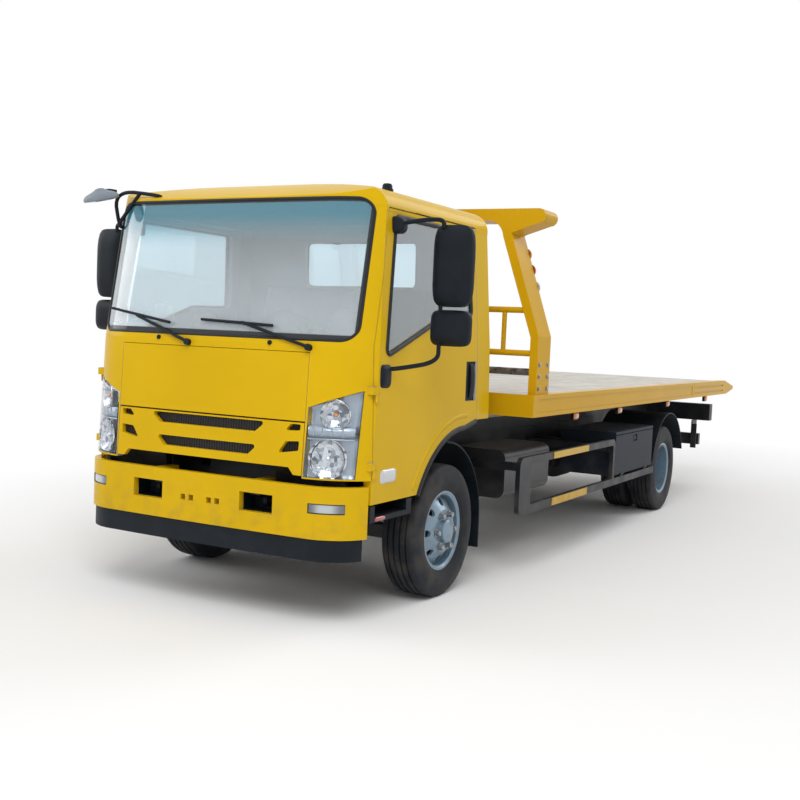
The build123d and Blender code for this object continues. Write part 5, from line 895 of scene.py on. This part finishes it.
def corner_skin(side, y, z, depth):
    """Point on the cab's corner at a height, sunk by depth below its skin."""
    out = Vector((math.sqrt(CORNER_RADIUS ** 2 - (y - CORNER_Y) ** 2), y - CORNER_Y))
    out = out * (CORNER_RADIUS - depth) / CORNER_RADIUS
    x = FRONT_AXLE_X + CORNER_X + out.x - NOSE_RAKE * (z - CAB_FOOT_Z)
    return Vector((x, side * (CORNER_Y + out.y), z))


def corner_out(side, y):
    """Direction that the cab's corner faces."""
    across = (y - CORNER_Y) / CORNER_RADIUS
    return Vector((math.sqrt(1 - across ** 2), side * across, 0.0))


LAMP_LOW, LAMP_INNER, LAMP_OUTER = 0.798, (0.6505, 0.658), (0.898, 0.911)
LAMP_TOP = (1.158, 1.254)
LENS_DEPTH, LENS_WALL, TRAY_DEPTH = 0.0012, 0.0035, 0.042


def lamp_grid(side, depth, columns=18, rows=22):
    """Points over the lamp's outline, sunk below the cab's skin."""
    grid = []
    for row in range(rows + 1):
        up = row / rows
        line = []
        for column in range(columns + 1):
            part = column / columns
            y = (LAMP_INNER[0] * (1 - up) + LAMP_INNER[1] * up) * (1 - part)
            y += (LAMP_OUTER[0] * (1 - up) + LAMP_OUTER[1] * up) * part
            top = LAMP_TOP[0] * (1 - part) + LAMP_TOP[1] * part
            line.append(corner_skin(side, y, LAMP_LOW + (top - LAMP_LOW) * up, depth))
        grid.append(line)
    return grid


def edge_wall(bm, outer, inner):
    """Closes the rim between two grids of the same size."""
    loops = []
    for grid in (outer, inner):
        loop = grid[0] + [row[-1] for row in grid[1:]]
        loop += grid[-1][-2::-1] + [row[0] for row in grid[-2:0:-1]]
        loops.append(loop + loop[:1])
    patch(bm, loops)
    bmesh.ops.remove_doubles(bm, verts=bm.verts, dist=CLOSE)


clear_moulding = mottled((0.93, 0.95, 0.97), (0.97, 0.985, 1.0), (18.0, 3.0), (0.3, 0.8, 0.0, 0.03))
tray_silver = mottled((0.34, 0.40, 0.47), (0.46, 0.52, 0.59), (26.0, 3.0), (0.2, 0.8, 0.26, 0.38),
                      grain=(900.0, 1.0, 0.0002, 0.2))


def reflector_silver(place):
    # Facets are painted dark or bright at random: painted reflections of dark and bright surroundings in the
    # chrome.
    facet = place.node("ShaderNodeTexVoronoi", {"feature": "F1"}, {"Vector": place, "Scale": 46.0}, "Color")
    painted_light = axes(facet)[0]
    return {
        "Base Color": blend_tint((0.16, 0.18, 0.21), (0.70, 0.73, 0.77), painted_light),
        "Roughness": ease(painted_light, 0.0, 1.0, 0.2, 0.06),
    }


def bulb_glass(colour):
    def envelope(place):
        bright = tuple(min(1.0, part * 1.4 + 0.05) for part in colour)
        return {
            "Base Color": blend_tint(colour, bright, ease(cloud(place, 60.0), 0.3, 0.7)),
            "Roughness": ease(cloud(place, 200.0), 0.2, 0.8, 0.1, 0.2),
        }
    return envelope


lens_clear = finish("lens_clear", clear_moulding, transmission_weight=1.0, ior=1.25)
reflector = finish("reflector_silver", reflector_silver, metallic=1.0)
tray = finish("lamp_tray", tray_silver, metallic=0.5, coat_weight=0.4)
bulb_amber = finish("bulb_amber", bulb_glass((0.75, 0.22, 0.02)), coat_weight=1.0)
bulb_white = finish("bulb_white", bulb_glass((0.75, 0.77, 0.8)), coat_weight=1.0, metallic=0.4)
# (place across, height, radius, bowl depth, spokes, smooth, bulb)
BOWLS = ((0.775, 0.898, 0.098, 0.030, 18, False, bulb_white),
         (0.800, 1.128, 0.074, 0.028, 40, True, bulb_amber))
BOWL_RIM, BOWL_RINGS, BOWL_LIP = 0.0085, 6, 0.006
BULB = ((0, 0.011), (0.006, 0.012), (0.014, 0.010), (0.019, 0.006), (0.0205, 0))
TRAY_FRONT = LENS_DEPTH + LENS_WALL + 0.0004
BAR_LOW, BAR_HIGH, BAR_NEAR = 1.008, 1.066, 0.012
BAR_Y, BAR_SPAN, BAR_STEPS = 0.660, 0.23, 12
BARS = ((BAR_LOW, BAR_HIGH, BAR_NEAR), (0.996, 1.003, 0.007))
RIB_Y, RIB_END = (0.692, 0.738, 0.786, 0.838), 0.006
# (across, depth) of a rib's section
RIB = ((-0.004, BAR_NEAR), (-0.003, 0.0075), (0.003, 0.0075), (0.004, BAR_NEAR))
for side, hand in SIDES:
    lens, back, bowls = bmesh.new(), bmesh.new(), bmesh.new()
    outer, inner = lamp_grid(side, LENS_DEPTH), lamp_grid(side, LENS_DEPTH + LENS_WALL)
    patch(lens, outer)
    patch(lens, inner)
    edge_wall(lens, outer, inner)
    piece_from(lens, f"headlamp_lens_{hand}", lens_clear, "cab")
    front, rear = lamp_grid(side, TRAY_FRONT), lamp_grid(side, TRAY_DEPTH)
    patch(back, rear)
    edge_wall(back, front, rear)
    for low, high, near in BARS:
        section = ((low, TRAY_DEPTH), (low, near), (high, near), (high, TRAY_DEPTH))
        places = [BAR_Y + BAR_SPAN * step / BAR_STEPS for step in range(BAR_STEPS + 1)]
        patch(back, [[corner_skin(side, y, z, depth) for y in places] for z, depth in section])
    for y in RIB_Y:
        ends = (BAR_LOW + RIB_END, BAR_HIGH - RIB_END)
        patch(back, [[corner_skin(side, y + across, z, depth) for z in ends] for across, depth in RIB])
    piece_from(back, f"headlamp_tray_{hand}", tray, "cab", ["headlamps"] if side > 0 else ())
    for y, z, radius, depth, spokes, smooth, bulb in BOWLS:
        rim, out = corner_skin(side, y, z, BOWL_RIM), corner_out(side, y)
        parts = [ring / BOWL_RINGS for ring in range(BOWL_RINGS + 1)]
        dish = [(-depth * (1 - part ** 2), radius * part) for part in parts]
        dish += [(0.0, radius + BOWL_LIP), (-BOWL_LIP, radius + BOWL_LIP + 0.001)]
        turn(bowls, rim, out, dish, spokes, smooth)
        glow = bmesh.new()
        turn(glow, rim - out * (depth - 0.001), out, BULB, 20)
        piece_from(glow, f"headlamp_{bulb.name}_{hand}", bulb, "cab")
    piece_from(bowls, f"headlamp_bowls_{hand}", reflector, "cab")


# Fog lamps sit in slots of the bumper, tail lamps on the rear beam: fluted lenses welded to their housings.
# The tail lamp runs from an amber turn part outside over red to a white part inside.
def fluted_lens(colour):
    """Recipe of a lens with a waffle of flutes; colour takes the place across the truck and a haze."""
    def lens(place):
        x, y, z = axes(place)
        haze = cloud(place, 30.0, 3.0)
        return {
            "Base Color": colour(y, haze),
            "Roughness": ease(haze, 0.2, 0.8, 0.05, 0.14),
            "Normal": relief(wave(y, 760.0) * wave(z, 760.0), 0.0014, 0.4),
        }
    return lens


def fog_colour(y, haze):
    middle = ease(abs(abs(y) - 0.789), 0.075, 0.02)
    return blend_tint(blend_tint((0.10, 0.11, 0.12), (0.18, 0.19, 0.20), haze), (0.48, 0.52, 0.55), middle)


def tail_colour(y, haze):
    red = blend_tint((0.36, 0.008, 0.010), (0.46, 0.014, 0.016), haze)
    inner = blend_tint((0.55, 0.55, 0.54), red, ease(abs(y), 0.568, 0.57))
    return blend_tint(inner, (0.62, 0.20, 0.012), ease(abs(y), 0.74, 0.742))


dress(finish("fog_lens", fluted_lens(fog_colour), metallic=0.3, coat_weight=1.0), "fog_lamps")
seal("fog_rims", "fog_lamps", (1, 0, 0), 0.005, "chassis")
dress(finish("tail_lens", fluted_lens(tail_colour), coat_weight=1.0), "tail_lamps")


# Side repeaters on the doors, red reflectors on the steps, amber markers under the bed's rails.
# Moulded lenses; the markers stand on small black bases.
def plain_lens(colour):
    dark = tuple(part * 0.8 for part in colour)
    return fluted_lens(lambda y, haze: blend_tint(dark, colour, haze))


lens_red = finish("lens_red", plain_lens((0.46, 0.012, 0.014)), coat_weight=1.0)
lens_amber = finish("lens_amber", plain_lens((0.72, 0.22, 0.012)), coat_weight=1.0)
lens_pale = finish("lens_pale", plain_lens((0.62, 0.64, 0.66)), coat_weight=1.0)
REPEATER, REFLEX = (0.728, 0.9548, 0.798), (0.79, 0.9503, 0.574)
DOOR_LEAN = 0.0115
MARKER_X = (-1.740, -2.787, -4.249, -5.755)
MARKER_Y, MARKER_Z, MARKER_HALF = (1.094, 1.118), (0.992, 1.0515), 0.05
LENS_GAP = 0.0002
bases, ambers = bmesh.new(), bmesh.new()
for side, hand in SIDES:
    along = (-side, 0, 0)
    repeater, reflex = bmesh.new(), bmesh.new()
    x, y, z = REPEATER
    lean = (0, DOOR_LEAN * side, 1)
    blister(repeater, (FRONT_AXLE_X + x, side * y, z), along, lean, 0.088, 0.038, 0.010, 0.003)
    piece_from(repeater, f"repeater_{hand}", lens_pale, f"door_{hand}", (), 50)
    x, y, z = REFLEX
    blister(reflex, (FRONT_AXLE_X + x, side * y, z), along, UPRIGHT, 0.055, 0.011, 0.004, LENS_GAP)
    piece_from(reflex, f"step_reflector_{hand}", lens_red, "cab", (), 50)
    for place in MARKER_X:
        x = FRONT_AXLE_X + place
        box(bases, (x - MARKER_HALF, side * MARKER_Y[0], MARKER_Z[0]),
            (x + MARKER_HALF, side * MARKER_Y[1], MARKER_Z[1]))
        seat = (x, side * (MARKER_Y[1] + LENS_GAP), sum(MARKER_Z) / 2)
        blister(ambers, seat, along, UPRIGHT, 0.046, 0.026, 0.014, LENS_GAP)
piece_from(bases, "marker_bases", black_plastic, "bed", (), 35)
piece_from(ambers, "marker_lenses", lens_amber, "bed", (), 50)


# Lamps on the headboard: three round ones behind each post, amber over red over white, and two work lamps.
# Domed lenses on flat black feet; the work lamps are pressed black bowls.
POST_REAR_X = FRONT_AXLE_X - 1.1253
ROUND_LAMPS = ((0.9118, 2.135, lens_amber), (0.9478, 2.028, lens_red), (0.9858, 1.915, lens_pale))
LAMP_FOOT = ((0, 0), (0, 0.034), (0.003, 0.034), (0.003, 0))
LAMP_DOME = ((0.0032, 0), (0.0032, 0.0455), (0.016, 0.0448), (0.026, 0.036), (0.032, 0.022), (0.0345, 0.01),
             (0.035, 0))
WORK_LAMP, WORK_STALK = (-0.9755, 0.56, 2.25), ((-1.03, 0.545, 2.291), (-1.0, 0.575, 2.3452))
WORK_BOWL = ((0, 0), (0, 0.026), (0.012, 0.036), (0.034, 0.046), (0.052, 0.0505), (0.078, 0.0515),
             (0.0792, 0.049), (0.0792, 0.0465), (0.070, 0.0455), (0.070, 0))
WORK_PANE = ((0.0704, 0), (0.0704, 0.0452), (0.0745, 0.0452), (0.0765, 0.03), (0.0772, 0))
BACKWARD = (-1, 0, 0)
cups, work_glass = bmesh.new(), bmesh.new()
domes = {lens_amber: bmesh.new(), lens_red: bmesh.new(), lens_pale: bmesh.new()}
for side, hand in SIDES:
    for y, z, lens in ROUND_LAMPS:
        turn(cups, (POST_REAR_X, side * y, z), BACKWARD, LAMP_FOOT, 40)
        turn(domes[lens], (POST_REAR_X, side * y, z), BACKWARD, LAMP_DOME, 40)
    x, y, z = WORK_LAMP
    for bm, profile in ((cups, WORK_BOWL), (work_glass, WORK_PANE)):
        turn(bm, (FRONT_AXLE_X + x, side * y, z), BACKWARD, profile, 40)
    box(cups, *[(FRONT_AXLE_X + x, side * y, z) for x, y, z in WORK_STALK])
piece_from(cups, "gantry_lamp_cups", black_plastic, "bed", ["gantry_lamps"], 35)
piece_from(work_glass, "gantry_work_glass", lens_pale, "bed", (), 50)
for lens, dome in domes.items():
    slot = "lamp_red" if lens is lens_red else "lamp_clear"
    piece_from(dome, "gantry_" + lens.name, lens, "bed", (), 50)


# Small fittings on the cab: a dark roof marker over the left door and two washer jets under the windscreen.
# Moulded nylon, each on one screw.
ROOF_MARKER = ((-0.006, 0), (-0.006, 0.034), (0.008, 0.034), (0.012, 0.029), (0.030, 0.027), (0.038, 0.021),
               (0.042, 0))
WASHER_JET = ((-0.004, 0), (-0.004, 0.013), (0.008, 0.012), (0.012, 0.007), (0.013, 0))
JET_Y = (-0.377, 0.39)
fittings = bmesh.new()
turn(fittings, (FRONT_AXLE_X + 0.60, 0.80, 2.338), UPRIGHT, ROOF_MARKER, 32)
for y in JET_Y:
    turn(fittings, (FRONT_AXLE_X + 1.068, y, 1.487), (1, 0, 0.05), WASHER_JET, 24)
piece_from(fittings, "cab_fittings", black_plastic, "cab", (), 35)


# Cabin: a moulded dashboard, steering wheel with its column, and cloth seats on the floor pan.
# The mouldings have a fine leather grain; the wheel's rim is soft black foam.
def grained_trim(place):
    grain = place.node("ShaderNodeTexVoronoi", {"feature": "SMOOTH_F1"}, {"Vector": place, "Scale": 520.0})
    tone = cloud(place, 5.0, 4.0)
    return {
        "Base Color": blend_tint((0.15, 0.16, 0.17), (0.20, 0.21, 0.22), tone),
        "Roughness": ease(tone, 0.2, 0.8, 0.5, 0.62),
        "Normal": relief(grain, 0.0008, 0.4),
    }


def seat_cloth(place):
    x, y, z = axes(place)
    weave = wave(y + x, 2600.0) * wave(y - x + z, 2600.0)
    tone = cloud(place, 14.0, 4.0)
    yarn = blend_tint((0.20, 0.205, 0.215), (0.28, 0.285, 0.295), tone)
    return {
        "Base Color": blend_tint(yarn, (0.12, 0.125, 0.135), ease(weave, 0.1, 0.7)),
        "Roughness": 0.82 + tone * 0.1,
        "Normal": relief(weave, 0.0009, 0.5),
    }


trim_grey = finish("trim_grey", grained_trim)
seat_fabric = finish("seat_fabric", seat_cloth, sheen_weight=0.25)
dress(trim_grey, "dashboard")
dress(black_plastic, "steering_wheel")

# Seats: a driver's seat and a double one, each a foam cushion and back in woven cloth on a dark plastic box.
# The foam swells against its cover between the sewn channels.
SEATS = (("driver", 0.470, 0.430), ("bench", -0.320, 0.800))
FLOOR_TOP = 1.055
VOXEL, PRESSURE, FRAMES, SWELL = 0.009, 4.0, 20, 0.013
CHANNEL_DEPTH, CHANNEL_HALF = 0.006, 0.009


def pad_block(lengths, cuts=6):
    """Crowned slab about the origin, with drawn-in sides: (long, wide, thick)."""
    bm = bmesh.new()
    bmesh.ops.create_cube(bm, size=1.0)
    bmesh.ops.subdivide_edges(bm, edges=bm.edges, cuts=cuts, use_grid_fill=True)
    for vert in bm.verts:
        u, v, w = vert.co * 2.0
        pull = 1.0 - 0.03 * (1 - abs(v) ** 3) * abs(u) ** 6 - 0.02 * abs(w)
        edges = abs(u) ** 4 * abs(v) ** 4 + abs(u) ** 4 * abs(w) ** 4 + abs(v) ** 4 * abs(w) ** 4
        round_off = 1.0 - 0.035 * edges
        crown = 0.86 + 0.14 * (1 - u ** 4) * (1 - v ** 4)
        spread = pull * round_off
        vert.co = Vector((u * spread * lengths[0], v * spread * lengths[1], w * crown * lengths[2])) * 0.5
    return bm


def swollen(bm, place, name):
    start = mesh_of(bm, name)
    start.transform(place)
    holder = placed(name + "_foam", start)
    cells = holder.modifiers.new("cells", "REMESH")
    cells.mode = "VOXEL"
    cells.voxel_size = VOXEL
    mesh = frozen(holder)
    holder = placed(name + "_cover", mesh)
    cover = holder.modifiers.new("cover", "CLOTH")
    cover.settings.use_pressure = True
    cover.settings.uniform_pressure_force = PRESSURE
    cover.settings.effector_weights.gravity = 0.0
    cover.point_cache.frame_start = 1
    cover.point_cache.frame_end = FRAMES
    for count in range(1, FRAMES + 1):
        bpy.context.scene.frame_set(count)
    blown = frozen(holder)
    for rest, vert in zip(mesh.vertices, blown.vertices):
        move = vert.co - rest.co
        if move.length > SWELL:
            vert.co = rest.co + move * (SWELL / move.length)
    bpy.context.scene.frame_set(1)
    return blown


def seat_pad(name, place, lengths, channels):
    """Cloth pad with sewn channels across its upper face."""
    mesh = swollen(pad_block(lengths), place, name)
    back = place.inverted()
    outward = place.to_3x3() @ Vector((0, 0, 1))
    for vert in mesh.vertices:
        local = back @ vert.co
        if local.z > 0:
            for channel in channels:
                near = abs(local.y - channel * lengths[1])
                if near < CHANNEL_HALF * 2:
                    vert.co -= outward * CHANNEL_DEPTH * math.exp(-(near / CHANNEL_HALF) ** 2)
    mesh.materials.clear()
    mesh.materials.append(seat_fabric)
    mesh.shade_smooth()
    carry(name, mesh, "cab")


NARROW, BOX_INSET, PAD_INSET = 0.5, 0.03, 0.03
BOX_X, BOX_Z = (FRONT_AXLE_X - 0.33, FRONT_AXLE_X + 0.14), (FLOOR_TOP + 0.0003, FLOOR_TOP + 0.15)
CUSHION, CUSHION_TILT = (FRONT_AXLE_X - 0.045, FLOOR_TOP + 0.205), -0.04
BACKREST, BACK_TILT = (FRONT_AXLE_X - 0.349, FLOOR_TOP + 0.515), math.pi / 2 - math.atan2(0.09, 0.60)
boxes = bmesh.new()
for name, y, width in SEATS:
    half = width / 2 - BOX_INSET
    box(boxes, (BOX_X[0], y - half, BOX_Z[0]), (BOX_X[1], y + half, BOX_Z[1]))
    channels = (-0.26, 0.26) if width < NARROW else (-0.36, -0.14, 0.14, 0.36)
    for label, (x, z), tilt, long, thick in (("cushion", CUSHION, CUSHION_TILT, 0.40, 0.10),
                                             ("back", BACKREST, BACK_TILT, 0.60, 0.095)):
        place = Matrix.Translation((x, y, z)) @ Matrix.Rotation(tilt, 4, "Y")
        seat_pad(f"seat_{name}_{label}", place, (long, width - PAD_INSET, thick), channels)
bmesh.ops.bevel(boxes, geom=list(boxes.edges), offset=0.008, segments=2, affect="EDGES")
piece_from(boxes, "seat_boxes", black_plastic, "cab", ["seats"], 35)


# Side guards carry four yellow sleeves; toolboxes hang behind them, folded from sheet with drop-down doors.
# Sheet steel in dark grey enamel.
box_enamel = mottled((0.011, 0.016, 0.025), (0.019, 0.025, 0.036), (7.0, 5.0), (0.0, 1.0, 0.5, 0.5),
                     grain=(380.0, 2.0, 0.0005, 0.25), dust=(0.8, 0.45, 0.42, 0.7, 0.4))
box_grey = finish("box_grey", box_enamel, specular_ior_level=0.12)
dress(box_grey, "toolboxes", "toolbox_door_left", "toolbox_door_right")
dress(finish("sleeve_yellow", yellow_coat((0.60, 0.37, 0.03)), specular_ior_level=0.2), "guard_sleeves")


# Bed: chequer plate on channels between two pressed side rails, with a bent headboard bolted on in front.
# The plate is bare galvanised steel worn pale; rails and headboard are in the bed's deeper yellow.
def chequer_plate(place):
    x, y = axes(place)[:2]
    pitch = 0.036
    across = (x + y) / pitch
    along = (x - y) / pitch
    column = across.math("FLOOR", across)
    row = along.math("FLOOR", along)
    near = across - column - 0.5
    far = along - row - 0.5
    odd = (column + row).math("FLOORED_MODULO", column + row, 2.0)
    thick = near * (1 - odd) + far * odd
    long = far * (1 - odd) + near * odd
    tear = ease(thick * thick * 9.0 + long * long * 1.4, 0.30, 0.16)
    wear = cloud(place, 4.0, 6.0)
    streak = place.node("ShaderNodeMapping", {}, {"Vector": place, "Scale": (0.6, 9.0, 1.0)})
    drag = cloud(streak, 3.0, 5.0)
    base = blend_tint((0.46, 0.43, 0.37), (0.62, 0.59, 0.53), ease(drag, 0.35, 0.7))
    return {
        "Base Color": blend_tint(base, (0.34, 0.29, 0.22), ease(wear, 0.55, 0.75) * 0.5 * (1 - tear)),
        "Roughness": ease(wear, 0.25, 0.75, 0.36, 0.55) - tear * 0.1,
        "Normal": relief(tear, 0.0035, 0.6),
    }


dress(finish("deck_steel", chequer_plate, metallic=0.3), "bed_deck")
dress(bed_yellow, "bed_rails", "headboard")
POST_BOLT_X, POST_BOLT_Y, POST_BOLT_Z = (-1.085, -0.938), 1.1298, (1.238, 1.318, 1.398)
for side, hand in SIDES:
    spots = [(FRONT_AXLE_X + x, side * POST_BOLT_Y, z) for x in POST_BOLT_X for z in POST_BOLT_Z]
    bolts(f"post_bolts_{hand}", "bed", [(spot, (0, side, 0)) for spot in spots], 0.013, 0.011)


# Winch behind the headboard, and the chromed rods of the lift and slide cylinders.
# Machined steel, oiled; the rods are ground and hard-chromed.
def winch_steel(place):
    stretched = place.node("ShaderNodeMapping", {}, {"Vector": place, "Scale": (60.0, 4.0, 60.0)})
    scratch = cloud(stretched, 12.0, 4.0)
    grime = ease(cloud(place, 16.0, 5.0), 0.45, 0.7)
    bare = blend_tint((0.16, 0.16, 0.165), (0.26, 0.26, 0.265), scratch)
    return {
        "Base Color": blend_tint(bare, (0.05, 0.042, 0.035), grime),
        "Roughness": ease(scratch, 0.3, 0.7, 0.32, 0.5) + grime * 0.2,
        "Normal": relief(scratch, 0.0004, 0.3),
    }


hard_chrome = mottled((0.66, 0.67, 0.69), (0.52, 0.50, 0.46), (18.0, 4.0), (0.3, 0.8, 0.06, 0.2), (0.5, 0.75))


dress(finish("winch_steel", winch_steel, metallic=0.7), "winch_frame", "winch_drum")
dress(finish("rod_chrome", hard_chrome, metallic=1.0), "lift_rods", "slide_rod")


# Studio: a pale floor that keeps the truck's shadow, a white surround and large soft lamps.
# The lens stands off the front left corner, about as high as the windscreen's lower edge.
FLOOR_SPAN = 60.0
CLEAR_NEAR, CLEAR_FAR, STRETCH = 2.4, 5.2, 0.25
floor_mesh = bpy.data.meshes.new("studio_floor")
floor_mesh.from_pydata([(-FLOOR_SPAN, -FLOOR_SPAN, 0), (FLOOR_SPAN, -FLOOR_SPAN, 0),
                        (FLOOR_SPAN, FLOOR_SPAN, 0), (-FLOOR_SPAN, FLOOR_SPAN, 0)], [], [(0, 1, 2, 3)])
floor = placed("studio_floor", floor_mesh)


def seen_rays(tree):
    """1 for rays that the lens, a mirror or a pane sees, 0 for those that light the truck."""
    camera_ray = Wire(tree).node("ShaderNodeLightPath", {}, {}, "Is Camera Ray")
    seen = camera_ray
    for kind in ("Is Glossy Ray", "Is Transmission Ray"):
        seen = seen.math("MAXIMUM", seen, Wire(tree, camera_ray.socket.node.outputs[kind]))
    return seen


def pale_floor(place):
    return {"Base Color": blend_tint((0.92, 0.92, 0.92), (0.95, 0.95, 0.95), cloud(place, 0.4))}


paper = finish("studio_floor", pale_floor, roughness=0.9, specular_ior_level=0.1)
tree = paper.node_tree
x, y = axes(Wire(tree).node("ShaderNodeTexCoord", {}, {}, "Object"))[:2]
square = x * x * STRETCH + y * y
away = ease(square.math("SQRT", square), CLEAR_NEAR, CLEAR_FAR)
backdrop = tree.nodes.new("ShaderNodeEmission")
layered(away * seen_rays(tree), tree.nodes["Principled BSDF"].outputs[0], backdrop.outputs[0])
floor_mesh.materials.append(paper)

AMBIENT = 0.5
world = bpy.data.worlds.new("studio_light")
bpy.context.scene.world = world
world.use_nodes = True
sky = world.node_tree.nodes["Background"]
strength = AMBIENT + seen_rays(world.node_tree) * (1 - AMBIENT)
set_sockets(sky, {"Strength": strength}, color=(1.0, 1.0, 1.0, 1.0))

LAMP_TARGET = Vector((0.0, 0.0, 0.8))
# (name, place, size, power)
LAMPS = (("key", (10.0, 4.0, 9.0), 6.0, 670.0), ("fill", (6.0, -9.0, 6.0), 7.0, 280.0),
         ("rim", (-8.0, 5.0, 9.0), 7.0, 430.0))
for name, spot, size, power in LAMPS:
    lamp = bpy.data.lights.new(name, "AREA")
    lamp.size = size
    lamp.energy = power
    holder = placed(name, lamp)
    holder.location = spot
    holder.visible_glossy = name != "key"
    holder.rotation_euler = (LAMP_TARGET - Vector(spot)).to_track_quat("-Z", "Y").to_euler()

EYE = (FRONT_AXLE_X + 5.749, 3.7656, 1.5633)
YAW, PITCH, ROLL = 3.6441, -0.0614, 0.0434
FOCAL_PIXELS, FRAME_PIXELS = 1077.52, 800
ahead = Vector((math.cos(PITCH) * math.cos(YAW), math.cos(PITCH) * math.sin(YAW), math.sin(PITCH)))
level = Vector((math.sin(YAW), -math.cos(YAW), 0.0))
rise = level.cross(ahead)
right = level * math.cos(ROLL) + rise * math.sin(ROLL)
up = rise * math.cos(ROLL) - level * math.sin(ROLL)
camera = bpy.data.cameras.new("photo_lens")
camera.sensor_width = 36.0
camera.lens = camera.sensor_width * FOCAL_PIXELS / FRAME_PIXELS
holder = placed("photo_lens", camera)
holder.matrix_world = Matrix.Translation(EYE) @ Matrix((right, up, -ahead)).transposed().to_4x4()
bpy.context.scene.camera = holder
bpy.context.scene.view_settings.view_transform = "Standard"
